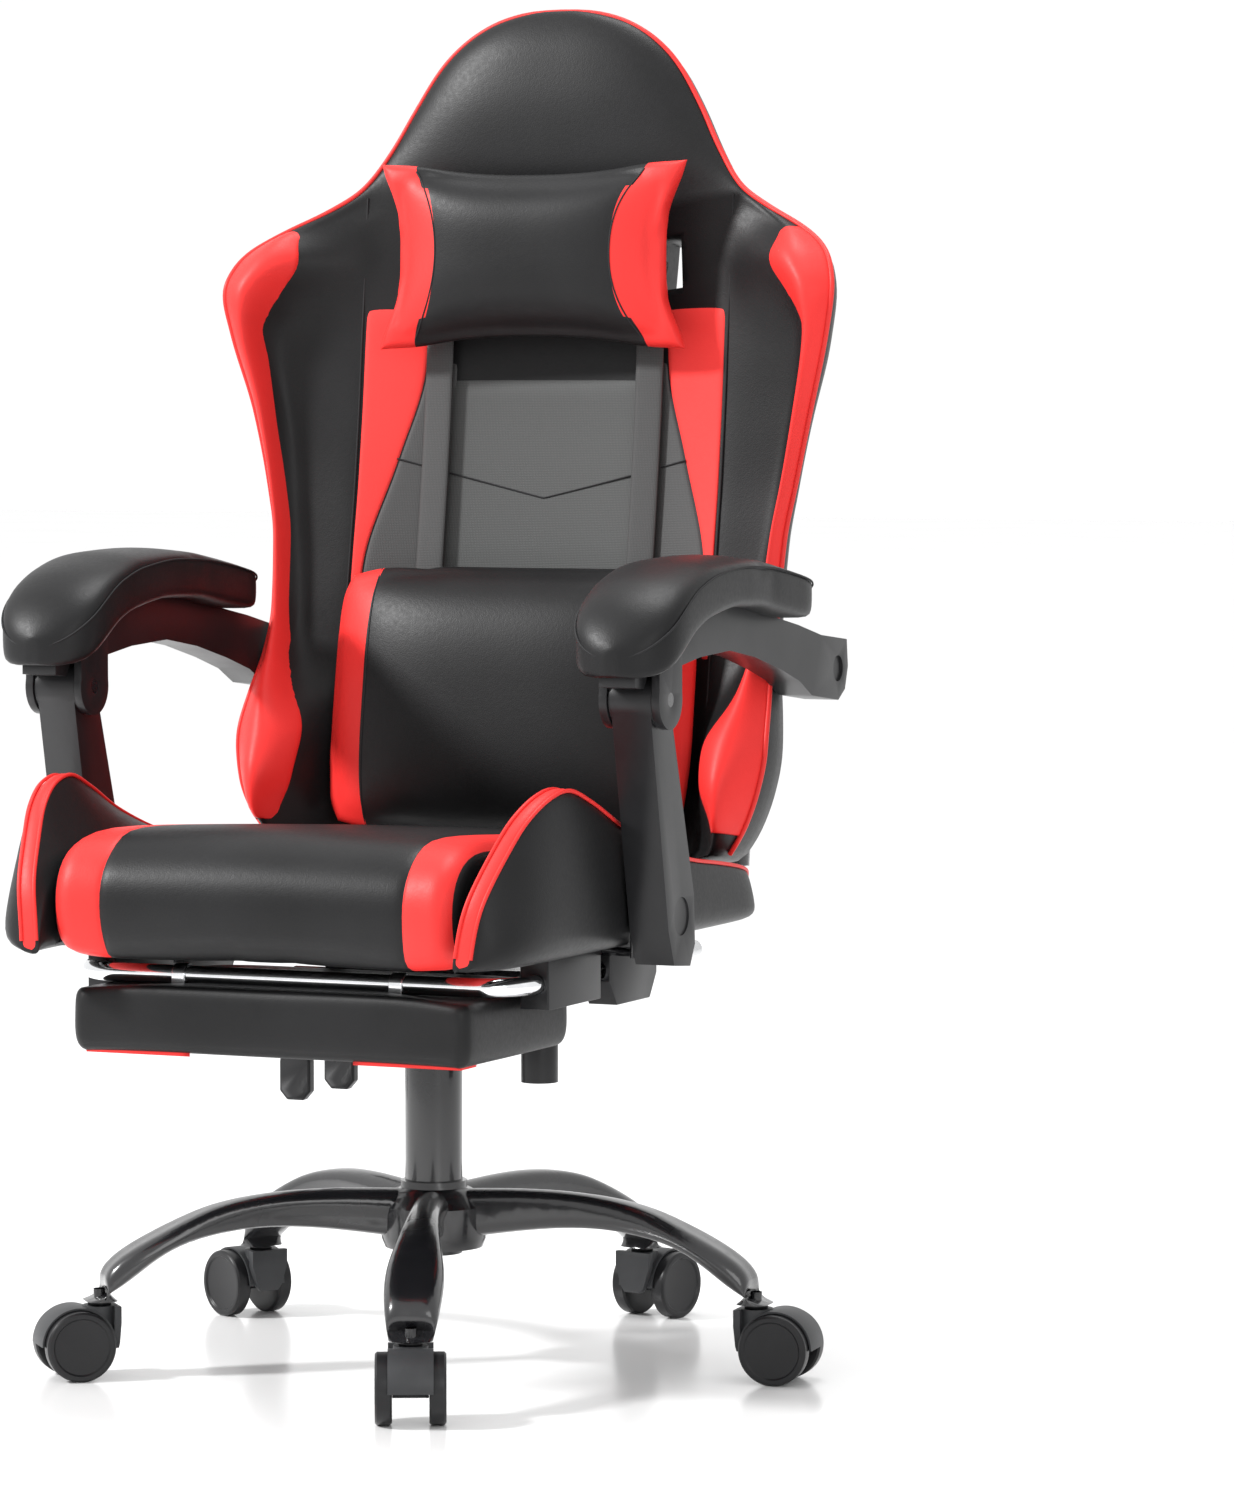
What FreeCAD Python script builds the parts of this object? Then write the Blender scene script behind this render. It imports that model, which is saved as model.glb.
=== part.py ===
import FreeCAD, Part
import math
import os
import re
import Sketcher

# Racing-style office chair with a sliding footrest and armrests linked to the backrest.
# Millimetres, +Z up, the sitter faces -Y, origin on the floor under the gas lift.

SIZES = {
    # five-star base and casters
    "arm_count": 5, "arm_turn": 21.66, "hub_bottom": 101, "hub_top": 159, "hub_radius": 46,
    "stem_reach": 296, "arm_end_bottom": 66, "stem_radius": 5, "stem_socket": 5, "stem_depth": 10,
    "stem_flange": 10, "fork_top": 62, "fork_radius": 14.5, "caster_trail": 22,
    "wheel_radius": 30, "wheel_inner": 15.3, "wheel_outer": 29.3, "axle_radius": 4, "axle_half": 25.2,
    "hood_half": 15, "hood_lip_half": 18.8, "hood_radius": 32.4,
    # running clearance of every shaft in its bore, measured on the radius
    "running_fit": 0.05,
    # gas lift
    "tube_radius": 25, "tube_wall": 2, "tube_bottom": 95, "tube_top": 300, "tube_floor": 6,
    "bush_bottom": 215, "cylinder_radius": 14, "cylinder_wall": 2, "cylinder_bottom": 112,
    "cylinder_top": 349, "plug_height": 12, "rod_radius": 5, "rod_bottom": 92, "piston_bottom": 206,
    "piston_height": 8, "rod_flange": 10,
    # tilt mechanism
    "housing_half": 60, "housing_bottom": 318, "housing_top": 362, "housing_rear_top": 338,
    "housing_front": -85, "housing_rear": 112, "tilt_y": -60, "tilt_z": 348, "tilt_pin": 6,
    "knob_x": 101, "knob_radius": 16, "knob_bottom": 249, "knob_height": 36, "screw_radius": 4,
    "boss_top": 346, "boss_bottom": 322,
    "lever_x": -148, "lever_z": 333, "lever_radius": 4, "lever_drop": 52, "height_lever_y": 30,
    "tilt_lever_y": 118, "handle_width": 30, "handle_bottom": 218, "handle_top": 294, "handle_thick": 11,
    # seat
    "seat_bottom": 380, "foam_bottom": 400, "plate_bottom": 376, "plate_top": 384, "plate_half": 100,
    "plate_front": -110, "plate_rear": 115, "ear_inner": 61, "ear_thick": 6,
    "rail_inner": 190, "rail_outer": 212, "frame_front": -320, "frame_rear": 120, "rail_depth": 22,
    "seat_half": 190, "seat_front": -353, "seat_rear": 128, "seat_top_front": 474, "seat_top_rear": 448,
    "bolster_outer": 246, "arm_strap_outer": 249.5, "arm_strap_thick": 6, "arm_foot_front": -124.5,
    "arm_foot_rear": -107.5,
    # recline hinge and backrest, whose own frame starts at the hinge and leans back
    "recline_y": 165, "recline_z": 405, "lean": 8.5, "recline_pin": 7, "bracket_inner": 176,
    "back_plate_inner": 168, "hinge_plate": 6, "bracket_round": 20,
    "back_tube": 10, "back_tube_wall": 2, "back_tube_x": 200, "back_tube_behind": 40,
    "back_tube_shoulder": 520, "back_tube_top": 690, "back_tube_top_x": 110, "back_bend": 60,
    "panel_behind": 27, "panel_half": 186, "slot_inner": 96, "slot_outer": 130, "slot_low": 530,
    "slot_high": 585, "cover_front": 51, "cover_thick": 13, "wing_back": 28,
    # footrest
    "rail_tube": 8, "rail_tube_wall": 1.5, "rail_x": 202, "rail_z": 359, "bar_y": -275, "rail_end": 102,
    "rail_bend": 40, "guide_inner": 188, "guide_outer": 214, "guide_bottom": 338,
    "pad_half": 184, "pad_front": -323, "pad_rear": -112, "pad_bottom": 296, "pad_top": 341,
    "board_thick": 8, "board_half": 165, "clamp_x": 100, "clamp_half": 6, "clamp_radius": 10,
    # armrests: post, bracket and pad, all centred on arm_x
    "arm_x": 268, "post_half": 17.5, "barrel_half": 19, "barrel_radius": 23, "cheek_half": 27,
    "cheek_gap": 20, "cheek_radius": 24.5, "arm_bolt": 6, "post_low_y": -122, "post_low_z": 409,
    "elbow_y": -167, "elbow_z": 591, "rear_y": 235, "rear_z": 599, "rear_bolt": 4, "rear_eye": 10,
    "arm_pad_half": 47, "bracket_half": 16,
}

# Which way each caster trails, in degrees from -Y towards +X, going round from the front arm.
CASTER_TURNS = [25.4, 95.4, 166.0, 241.0, -47.6]

# Arm of the star base: reach, height of the middle, downward turn, width, thickness.
BASE_ARM = [
    (20, 130, -4, 27, 44), (80, 136, -2, 25, 37), (140, 138, 3, 28, 30), (200, 130, 17, 38, 23),
    (248, 111, 36, 49, 18), (281, 88, 58, 46, 20), (295, 66, 90, 37, 28),
]

# Seat bolster: distance back, inner top, crown height, crown middle.
SEAT_BOLSTER = [
    (-351, 405, 414, 212), (-330, 438, 462, 214), (-285, 458, 510, 225), (-238, 462, 523, 229),
    (-150, 458, 494, 234), (-18, 450, 451, 236), (100, 428, 436, 233), (164, 408, 424, 226),
]

# Backrest wing: height up the back, inner x, outer x, inner front, outer front.
BACK_WING = [
    (26, 196, 236, -5, 45), (55, 190, 248, 0, 84), (115, 188, 251, 0, 66), (170, 188, 247, 0, 38),
    (240, 187, 247, 0, 6), (310, 187, 248, 0, 8), (350, 187, 252, 0, 11), (450, 187, 280, 4, 34),
    (521, 187, 298, 8, 61), (560, 187, 285, 10, 45), (600, 187, 236, 12, 24), (624, 187, 194, 12, 13),
]

# Half outlines of the flat backrest parts, from the bottom round to the middle of the top.
HEAD_OUTLINE = [(183, 500), (183, 625), (160, 662), (137, 702), (119, 737), (97, 762), (62, 780), (0, 788)]
COVER_OUTLINE = [
    (0, 60), (200, 60), (232, 110), (230, 250), (262, 450), (278, 520), (262, 560), (180, 610),
    (150, 660), (118, 720), (60, 765), (0, 772),
]
HEAD_PILLOW = [(0, 490), (80, 483), (145, 470), (120, 560), (145, 648), (80, 632), (0, 625)]

# Side outlines of the armrest parts, as (y, z).
ARM_PAD = [
    (-205, 613), (-190, 620), (-157, 645), (-121, 656), (-84, 662.5), (-38, 666), (28, 660), (106, 647),
    (130, 645), (134, 655), (130, 672), (100, 686), (50, 694), (0, 700), (-50, 705), (-100, 706),
    (-150, 697.5), (-180, 687), (-205, 672), (-220, 655), (-226, 640), (-222, 612),
]
ARM_BRACKET = [
    (-216, 611), (-205, 612.5), (-190, 619.5), (-157, 644.5), (-121, 655.5), (-84, 662), (-38, 665.5),
    (28, 659.5), (106, 646.5), (140, 641), (195, 630), (256, 624), (259, 600), (252, 580), (236, 571),
    (173, 578), (144, 592), (100, 604), (42, 617), (-15, 625), (-80, 622), (-126, 616), (-150, 618),
    (-178, 618), (-189, 612), (-198, 601), (-216, 603),
]
ARM_CHEEK = [(-190.5, 591), (-190.5, 619), (-157, 644.5), (-143, 648.5), (-143, 591)]
ARM_BRIDGE = [(-190.5, 617.5), (-190.5, 619), (-157, 644.5), (-143, 648.5), (-143, 617.5)]
ARM_POST = [(-149, 398), (-137, 369), (-103, 366), (-93, 384), (-95, 425), (-145, 582), (-187, 582)]
SEAT_PROFILE = [
    ("seat_rear", "foam_bottom"), ("frame_front - 2", "foam_bottom"), ("frame_front - 2", "seat_bottom"),
    ("seat_front + 12", "seat_bottom"), ("seat_front", "seat_bottom + 18"),
    ("seat_front + 2", "seat_bottom + 60"), ("seat_front + 26", "seat_top_front - 8"),
    ("seat_front + 72", "seat_top_front"), ("seat_rear", "seat_top_rear"),
]
HINGE_PLATE = [(-17, -8), (-10, -17), (12, -17), (50, 28), (50, 52), (32, 52), (-17, 14)]
REAR_GUIDE = [(-107, 384), (-107, 350), (-92, 329), (-22, 329), (-7, 350), (-7, 384)]

doc = FreeCAD.newDocument("gaming_chair")
sheet = doc.addObject("Spreadsheet::Sheet", "Sizes")
for row, (alias, number) in enumerate(SIZES.items(), start=1):
    sheet.set(f"A{row}", alias)
    sheet.set(f"B{row}", str(number))
    sheet.setAlias(f"B{row}", alias)
doc.recompute()

X_AXIS = FreeCAD.Vector(1, 0, 0)
Y_AXIS = FreeCAD.Vector(0, 1, 0)
Z_AXIS = FreeCAD.Vector(0, 0, 1)
ALONG = {
    "X": FreeCAD.Rotation(Y_AXIS, 90), "Y": FreeCAD.Rotation(X_AXIS, -90), "Z": FreeCAD.Rotation(),
}
nodes = {}
used_names = set()


def bound(formula):
    """A formula in plain aliases, written so that it reads the sheet."""
    def place(word):
        return "Sizes." + word[0] if word[0] in SIZES else word[0]

    return re.sub(r"[a-z]\w+", place, str(formula))


def size(formula):
    """The number that a formula gives now."""
    return float(sheet.evalExpression(bound(formula)))


def fresh(name):
    """An internal name not used yet, for the pieces that a node is made from."""
    count = 1
    while f"{name}_{count}" in used_names:
        count += 1
    used_names.add(f"{name}_{count}")
    return f"{name}_{count}"


def bind(thing, **formulas):
    """Bind properties of an object to formulas of the sheet."""
    for name, formula in formulas.items():
        thing.setExpression(name, bound(formula))


def place(thing, x=0, y=0, z=0):
    """Bind an object's position, keeping its rotation."""
    for axis, formula in zip("xyz", (x, y, z)):
        thing.setExpression("Placement.Base." + axis, bound(formula))


def turn(thing, axis, formula):
    """Bind an object's rotation about one axis."""
    thing.Placement.Rotation = FreeCAD.Rotation(axis, size(formula))
    thing.setExpression("Placement.Rotation.Angle", bound(formula))


def box(low, high):
    """A block between two corners, each a triple of formulas."""
    block = doc.addObject("Part::Box", fresh("Block"))
    spans = [f"({top}) - ({bottom})" for bottom, top in zip(low, high)]
    bind(block, Length=spans[0], Width=spans[1], Height=spans[2])
    place(block, *low)
    return block


def rod(radius, length, start, along="Z"):
    """A cylinder from a start point along +X, +Y or +Z."""
    cylinder = doc.addObject("Part::Cylinder", fresh("Rod"))
    cylinder.Placement.Rotation = ALONG[along]
    bind(cylinder, Radius=radius, Height=length)
    place(cylinder, *start)
    return cylinder


def fuse(*pieces):
    joined = doc.addObject("Part::MultiFuse", fresh("Joined"))
    joined.Shapes = list(pieces)
    joined.Refine = True
    return joined


def group(*pieces):
    """Separate solids that share one node."""
    gathered = doc.addObject("Part::Compound", fresh("Group"))
    gathered.Links = list(pieces)
    return gathered


def cut(base, *tools):
    """The base less every tool."""
    remaining = base
    for tool in tools:
        result = doc.addObject("Part::Cut", fresh("Cut"))
        result.Base = remaining
        result.Tool = tool
        remaining = result
    return remaining


def common(first, second):
    shared = doc.addObject("Part::Common", fresh("Shared"))
    shared.Base = first
    shared.Tool = second
    return shared


def node(label, thing):
    """Name the finished sub-part."""
    thing.Label = label
    nodes[label] = thing
    return thing


def new_body():
    return doc.addObject("PartDesign::Body", fresh("Body"))


def origin_feature(body, role):
    return next(item for item in body.Origin.OriginFeatures if item.Role == role)


def new_sketch(body, plane, offset=0):
    """A sketch on one of the body's own origin planes, moved along its normal."""
    sketch = body.newObject("Sketcher::SketchObject", fresh("Sketch"))
    sketch.AttachmentSupport = [(origin_feature(body, plane), "")]
    sketch.MapMode = "FlatFace"
    sketch.setExpression("AttachmentOffset.Base.z", bound(offset))
    return sketch


def pin_point(sketch, index, position, x, y):
    """Tie one point of a sketch to formulas for its two coordinates."""
    for kind, axis, formula in (("DistanceX", -2, x), ("DistanceY", -1, y)):
        number = size(formula)
        if abs(number) < 1e-9:
            sketch.addConstraint(Sketcher.Constraint("PointOnObject", index, position, axis))
            continue
        added = sketch.addConstraint(Sketcher.Constraint(kind, -1, 1, index, position, number))
        sketch.setExpression(f"Constraints[{added}]", bound(formula))


def outline(sketch, corners):
    """A closed straight-sided outline through corners given as pairs of formulas."""
    spots = [FreeCAD.Vector(size(x), size(y), 0) for x, y in corners]
    first = sketch.GeometryCount
    count = len(spots)
    for index, spot in enumerate(spots):
        sketch.addGeometry(Part.LineSegment(spot, spots[(index + 1) % count]), False)
    for index in range(count):
        following = first + (index + 1) % count
        sketch.addConstraint(Sketcher.Constraint("Coincident", first + index, 2, following, 1))
    for index, (x, y) in enumerate(corners):
        pin_point(sketch, first + index, 1, x, y)
    return sketch


def circle(sketch, radius, x=0, y=0):
    """A circle whose centre and radius are formulas."""
    ring = Part.Circle(FreeCAD.Vector(size(x), size(y), 0), Z_AXIS, size(radius))
    index = sketch.addGeometry(ring, False)
    added = sketch.addConstraint(Sketcher.Constraint("Radius", index, size(radius)))
    sketch.setExpression(f"Constraints[{added}]", bound(radius))
    if abs(size(x)) + abs(size(y)) < 1e-9:
        sketch.addConstraint(Sketcher.Constraint("Coincident", index, 3, -1, 1))
    else:
        pin_point(sketch, index, 3, x, y)
    return sketch


def pad(body, sketch, length):
    feature = body.newObject("PartDesign::Pad", fresh("Pad"))
    feature.Profile = sketch
    bind(feature, Length=length)
    return feature


def pocket(body, sketch, length, upward=False):
    """Cut along the sketch's normal where upward is set, and against it otherwise."""
    feature = body.newObject("PartDesign::Pocket", fresh("Pocket"))
    feature.Profile = sketch
    feature.Reversed = upward
    bind(feature, Length=length)
    return feature


def revolve(body, sketch, axis):
    feature = body.newObject("PartDesign::Revolution", fresh("Revolution"))
    feature.Profile = sketch
    feature.ReferenceAxis = (sketch, [axis])
    feature.Angle = 360
    return feature


def loft(body, sketches, ruled):
    feature = body.newObject("PartDesign::AdditiveLoft", fresh("Loft"))
    feature.Profile = sketches[0]
    feature.Sections = sketches[1:]
    feature.Ruled = ruled
    return feature


def round_all(body, radius):
    """Round every edge of the body so far."""
    doc.recompute()
    base = body.Tip
    feature = body.newObject("PartDesign::Fillet", fresh("Fillet"))
    feature.Base = (base, [f"Edge{index + 1}" for index in range(len(base.Shape.Edges))])
    bind(feature, Radius=radius)
    body.Tip = feature
    return feature


def side_slab(corners, low_x, high_x):
    """A plate with a (y, z) outline between two x values."""
    body = new_body()
    sketch = outline(new_sketch(body, "YZ_Plane", low_x), corners)
    pad(body, sketch, f"({high_x}) - ({low_x})")
    return body


def side_span(side, inner, outer):
    """The lower and upper x of a stretch on the right (+1) or left (-1) of the chair."""
    if side > 0:
        return inner, outer
    return f"-({outer})", f"-({inner})"


def mirrored(half):
    """A whole outline from its right half."""
    left = [(-x, y) for x, y in reversed(half) if x != 0]
    return list(half) + left


def lean_back(thing):
    """Carry a piece drawn in the backrest's frame to its place on the chair."""
    turn(thing, X_AXIS, "-lean")
    place(thing, 0, "recline_y", "recline_z")


def back_slab(corners, rear, front):
    """A plate across the backrest between two distances in front of the hinge axis."""
    body = new_body()
    sketch = outline(new_sketch(body, "XZ_Plane", rear), corners)
    pad(body, sketch, f"({front}) - ({rear})")
    return body


def polar(body, originals):
    """Repeat features round the column."""
    pattern = body.newObject("PartDesign::PolarPattern", fresh("Pattern"))
    pattern.Originals = originals
    pattern.Axis = (origin_feature(body, "Z_Axis"), [""])
    pattern.Angle = 360
    bind(pattern, Occurrences="arm_count")
    body.Tip = pattern
    return pattern


def bent_path(sketch, corners, radii):
    """An open path of straight runs joined by tangent arcs."""
    spots = [FreeCAD.Vector(size(x), size(y), 0) for x, y in corners]
    start = spots[0]
    for before, spot, after, radius in zip(spots, spots[1:], spots[2:], radii):
        inward = (before - spot).normalize()
        outward = (after - spot).normalize()
        half_turn = inward.getAngle(outward) / 2
        reach = size(radius) / math.tan(half_turn)
        middle_way = (inward + outward).normalize()
        middle = spot + middle_way * (size(radius) * (1 / math.sin(half_turn) - 1))
        entry = spot + inward * reach
        leave = spot + outward * reach
        sketch.addGeometry(Part.LineSegment(start, entry), False)
        sketch.addGeometry(Part.Arc(entry, middle, leave), False)
        start = leave
    sketch.addGeometry(Part.LineSegment(start, spots[-1]), False)
    return sketch


def tube(body, path, ring_plane, ring_offset, across, up, radius, wall):
    """A round hollow tube along a path."""
    ring = new_sketch(body, ring_plane, ring_offset)
    circle(ring, radius, across, up)
    circle(ring, f"{radius} - {wall}", across, up)
    feature = body.newObject("PartDesign::AdditivePipe", fresh("Pipe"))
    feature.Profile = ring
    feature.Spine = path
    body.Tip = feature
    return feature


# ---------------------------------------------------------------- base and casters

def arm_section(body, reach, height, droop, width, thickness):
    """One rounded section of a base arm, square to the arm's line."""
    sketch = body.newObject("Sketcher::SketchObject", fresh("Section"))
    sketch.AttachmentSupport = [(origin_feature(body, "XZ_Plane"), "")]
    sketch.MapMode = "FlatFace"
    spot = FreeCAD.Vector(0, height, reach)
    sketch.AttachmentOffset = FreeCAD.Placement(spot, FreeCAD.Rotation(X_AXIS, droop))
    wide = width / 2
    thick = thickness / 2
    full = 0.8
    half = [(wide, 0), (wide * full, thick * full), (0, thick), (-wide * full, thick * full)]
    points = half + [(-x, -y) for x, y in half]
    curve = Part.BSplineCurve()
    curve.interpolate([FreeCAD.Vector(x, y, 0) for x, y in points], PeriodicFlag=True)
    sketch.addGeometry(curve, False)
    return sketch


def star_base():
    body = new_body()
    hub = [
        ("tube_radius - 8", "hub_bottom"), ("hub_radius - 3", "hub_bottom"),
        ("hub_radius", "hub_bottom + 8"), ("hub_radius", "hub_top - 22"),
        ("hub_radius - 12", "hub_top - 8"), ("tube_radius + 4", "hub_top - 6"),
        ("tube_radius + 4", "hub_top"), ("tube_radius - 8", "hub_top"),
    ]
    revolve(body, outline(new_sketch(body, "XZ_Plane"), hub), "V_Axis")
    arm = loft(body, [arm_section(body, *station) for station in BASE_ARM], False)
    socket = circle(new_sketch(body, "XY_Plane", "arm_end_bottom"), "stem_socket", 0, "-stem_reach")
    socket_cut = pocket(body, socket, "stem_depth", True)
    polar(body, [arm, socket_cut])
    bore = circle(new_sketch(body, "XY_Plane", "hub_bottom - 10"), "tube_radius")
    body.Tip = pocket(body, bore, "hub_top - hub_bottom + 20", True)
    turn(body, Z_AXIS, "arm_turn")
    node("star_base", body)


def stem_spot(index):
    """Formulas for the x and y of one caster's stem."""
    angle = f"arm_turn + {index} * 360 / arm_count"
    return f"sin({angle}) * stem_reach", f"-cos({angle}) * stem_reach"


def caster_stems():
    stems = []
    for index in range(SIZES["arm_count"]):
        x, y = stem_spot(index)
        pin = rod("stem_radius", "fork_top - 36", (x, y, "36.2"))
        flange = rod("stem_flange", "arm_end_bottom - fork_top - 0.1", (x, y, "fork_top + 0.1"))
        neck = rod("stem_radius", "0.4", (x, y, "fork_top"))
        grip = rod("stem_socket", "stem_depth", (x, y, "arm_end_bottom"))
        stems.append(fuse(pin, neck, flange, grip))
    node("caster_stems", group(*stems))


def set_caster(thing, index, y=0, z=0):
    """Move a piece drawn with the stem on the Z axis, trailing towards -Y, to its own caster."""
    stem_x, stem_y = stem_spot(index)
    heading = CASTER_TURNS[index]
    turn(thing, Z_AXIS, heading)
    place(thing, f"{stem_x} - sin({heading}) * ({y})", f"{stem_y} + cos({heading}) * ({y})", z)


def caster_fork(index):
    axle_spot = ("-caster_trail", "wheel_radius")
    housing = rod("fork_radius", "fork_top - wheel_radius", (0, 0, "wheel_radius"))
    core = rod("wheel_radius + 1", "2 * hood_half", ("-hood_half", *axle_spot), "X")
    lip = rod("hood_radius", "2 * hood_lip_half", ("-hood_lip_half", *axle_spot), "X")
    hollow = rod("wheel_radius + 0.6", "2 * hood_lip_half + 2", ("-hood_lip_half - 1", *axle_spot), "X")
    above = box((-30, -70, "wheel_radius"), (30, 30, "wheel_radius + 40"))
    hood = common(fuse(core, cut(lip, hollow)), above)
    boss = rod("2 * axle_radius", "2 * hood_half", ("-hood_half", *axle_spot), "X")
    shield_body = new_body()
    shield = [
        ("hood_lip_half", "fork_top"), ("-hood_lip_half", "fork_top"), ("-hood_lip_half", "fork_top - 14"),
        ("-hood_lip_half + 6", 30), ("-hood_lip_half + 10", 25), ("hood_lip_half - 10", 25),
        ("hood_lip_half - 6", 30), ("hood_lip_half", "fork_top - 14"),
    ]
    pad(shield_body, outline(new_sketch(shield_body, "XZ_Plane", -15), shield), 6)
    whole = fuse(housing, hood, boss, shield_body)
    bore = rod("stem_radius + running_fit", "30", (0, 0, 36))
    axle_bore = rod("axle_radius", "2 * hood_half + 2", ("-hood_half - 1", *axle_spot), "X")
    finished = cut(whole, bore, axle_bore)
    set_caster(finished, index)
    node(f"caster_fork_{index + 1}", finished)


def caster_axle(index):
    axle = doc.addObject("Part::Cylinder", fresh("Axle"))
    bind(axle, Radius="axle_radius", Height="2 * axle_half")
    axle.Placement.Rotation = ALONG["X"]
    place(axle, "-axle_half", "-caster_trail", "wheel_radius")
    carried = group(axle)
    set_caster(carried, index)
    node(f"caster_axle_{index + 1}", carried)


def caster_wheel(index, side, name):
    body = new_body()
    section = [
        ("wheel_inner", "axle_radius + running_fit"), ("axle_half + 0.3", "axle_radius + running_fit"),
        ("axle_half + 0.3", 0), ("wheel_outer - 1.5", 0), ("wheel_outer - 1.5", "wheel_radius - 6.5"),
        ("wheel_outer", "wheel_radius - 5"), ("wheel_outer", "wheel_radius - 1.7"),
        ("wheel_outer - 1.7", "wheel_radius"), ("wheel_inner + 1.7", "wheel_radius"),
        ("wheel_inner", "wheel_radius - 1.7"),
    ]
    placed = [(f"{side} * ({x})", y) for x, y in section]
    revolve(body, outline(new_sketch(body, "XY_Plane"), placed), "H_Axis")
    set_caster(body, index, "-caster_trail", "wheel_radius")
    node(f"caster_wheel_{index + 1}_{name}", body)


# ---------------------------------------------------------------- gas lift

def gas_lift():
    height = "tube_top - tube_bottom"
    shell = rod("tube_radius", height, (0, 0, "tube_bottom"))
    bore = rod("tube_radius - tube_wall", height, (0, 0, "tube_bottom + tube_floor"))
    eye = rod("rod_radius + running_fit", "tube_floor + 2", (0, 0, "tube_bottom - 1"))
    node("lift_outer_tube", cut(shell, bore, eye))

    bush = rod("tube_radius - tube_wall", "tube_top - bush_bottom", (0, 0, "bush_bottom"))
    slide = rod("cylinder_radius + running_fit", "tube_top", (0, 0, "bush_bottom - 10"))
    node("lift_guide_bush", cut(bush, slide))

    stem = rod("rod_radius", "piston_bottom - rod_bottom", (0, 0, "rod_bottom"))
    thrust = rod("rod_flange", 4, (0, 0, "tube_bottom + tube_floor + 0.1"))
    piston_radius = "cylinder_radius - cylinder_wall - running_fit"
    piston = rod(piston_radius, "piston_height", (0, 0, "piston_bottom"))
    node("lift_piston_rod", fuse(stem, thrust, piston))

    length = "cylinder_top - cylinder_bottom"
    barrel = rod("cylinder_radius", length, (0, 0, "cylinder_bottom"))
    chamber_length = "cylinder_top - cylinder_bottom - 2 * plug_height"
    chamber = rod("cylinder_radius - cylinder_wall", chamber_length, (0, 0, "cylinder_bottom + plug_height"))
    gland = rod("rod_radius + running_fit", "plug_height + 2", (0, 0, "cylinder_bottom - 1"))
    node("lift_gas_cylinder", cut(barrel, chamber, gland))


# ---------------------------------------------------------------- tilt mechanism and levers

def tilt_housing():
    side = [
        ("housing_front", "housing_bottom"), ("housing_rear", "housing_bottom"),
        ("housing_rear", "housing_rear_top"), ("tilt_y + 20", "housing_top"),
        ("housing_front + 15", "housing_top"), ("housing_front", "housing_top - 12"),
    ]
    core = side_slab(side, "-housing_half", "housing_half")
    boss = box(("housing_half - 5", -20, "boss_bottom"), ("knob_x + 18", 20, "boss_top"))
    socket = rod("cylinder_radius", "cylinder_top - housing_bottom + 5", (0, 0, "housing_bottom - 5"))
    pin_bore = rod("tilt_pin", "2 * housing_half + 2", ("-housing_half - 1", "tilt_y", "tilt_z"), "X")
    screw_bore = rod("screw_radius + running_fit", 40, ("knob_x", 0, "boss_bottom - 5"))
    shaft_bores = [
        rod("lever_radius + running_fit", 20, ("-housing_half - 1", lever_y, "lever_z"), "X")
        for lever_y in ("height_lever_y", "tilt_lever_y - 20")
    ]
    finished = cut(fuse(core, boss), socket, pin_bore, screw_bore, *shaft_bores)
    node("tilt_housing", finished)
    pin_reach = "housing_half + ear_thick + 4"
    pin_start = (f"-({pin_reach})", "tilt_y", "tilt_z")
    node("tilt_pivot_pin", rod("tilt_pin", f"2 * ({pin_reach})", pin_start, "X"))


def lever(name, shaft_y, handle_y):
    """A bent rod that turns in the side of the housing, with a paddle hanging from it."""
    inner_x = "-housing_half + 15"
    shaft = rod("lever_radius", f"{inner_x} - lever_x", ("lever_x", shaft_y, "lever_z"), "X")
    parts = [shaft]
    run = f"{handle_y} - ({shaft_y})"
    if size(run) > 0:
        parts.append(rod("lever_radius", run, ("lever_x", shaft_y, "lever_z"), "Y"))
    parts.append(rod("lever_radius", "lever_drop", ("lever_x", handle_y, "lever_z - lever_drop")))
    for elbow_y in {shaft_y, handle_y}:
        elbow = doc.addObject("Part::Sphere", fresh("Elbow"))
        bind(elbow, Radius="lever_radius")
        place(elbow, "lever_x", elbow_y, "lever_z")
        parts.append(elbow)
    node(name, fuse(*parts))

    body = new_body()
    half = "handle_width / 2"
    paddle = [
        (f"-{half} + 7", "handle_bottom"), (f"{half} - 7", "handle_bottom"), (half, "handle_bottom + 8"),
        (half, "handle_bottom + 34"), (f"{half} - 8", "handle_top"), (f"-{half} + 8", "handle_top"),
        (f"-{half}", "handle_bottom + 34"), (f"-{half}", "handle_bottom + 8"),
    ]
    sketch = outline(new_sketch(body, "XZ_Plane", "-handle_thick / 2"), paddle)
    pad(body, sketch, "handle_thick")
    round_all(body, 2.5)
    place(body, "lever_x", handle_y, 0)
    socket = rod("lever_radius", "lever_drop", ("lever_x", handle_y, "lever_z - lever_drop"))
    node(name + "_handle", cut(body, socket))


def tension_knob():
    grip = rod("knob_radius", "knob_height", ("knob_x", 0, "knob_bottom"))
    skirt = rod("knob_radius - 5", 10, ("knob_x", 0, "knob_bottom + knob_height"))
    screw = rod("screw_radius", "boss_top - knob_bottom + 6", ("knob_x", 0, "knob_bottom"))
    node("tension_knob", fuse(grip, skirt, screw))


# ---------------------------------------------------------------- seat

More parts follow.
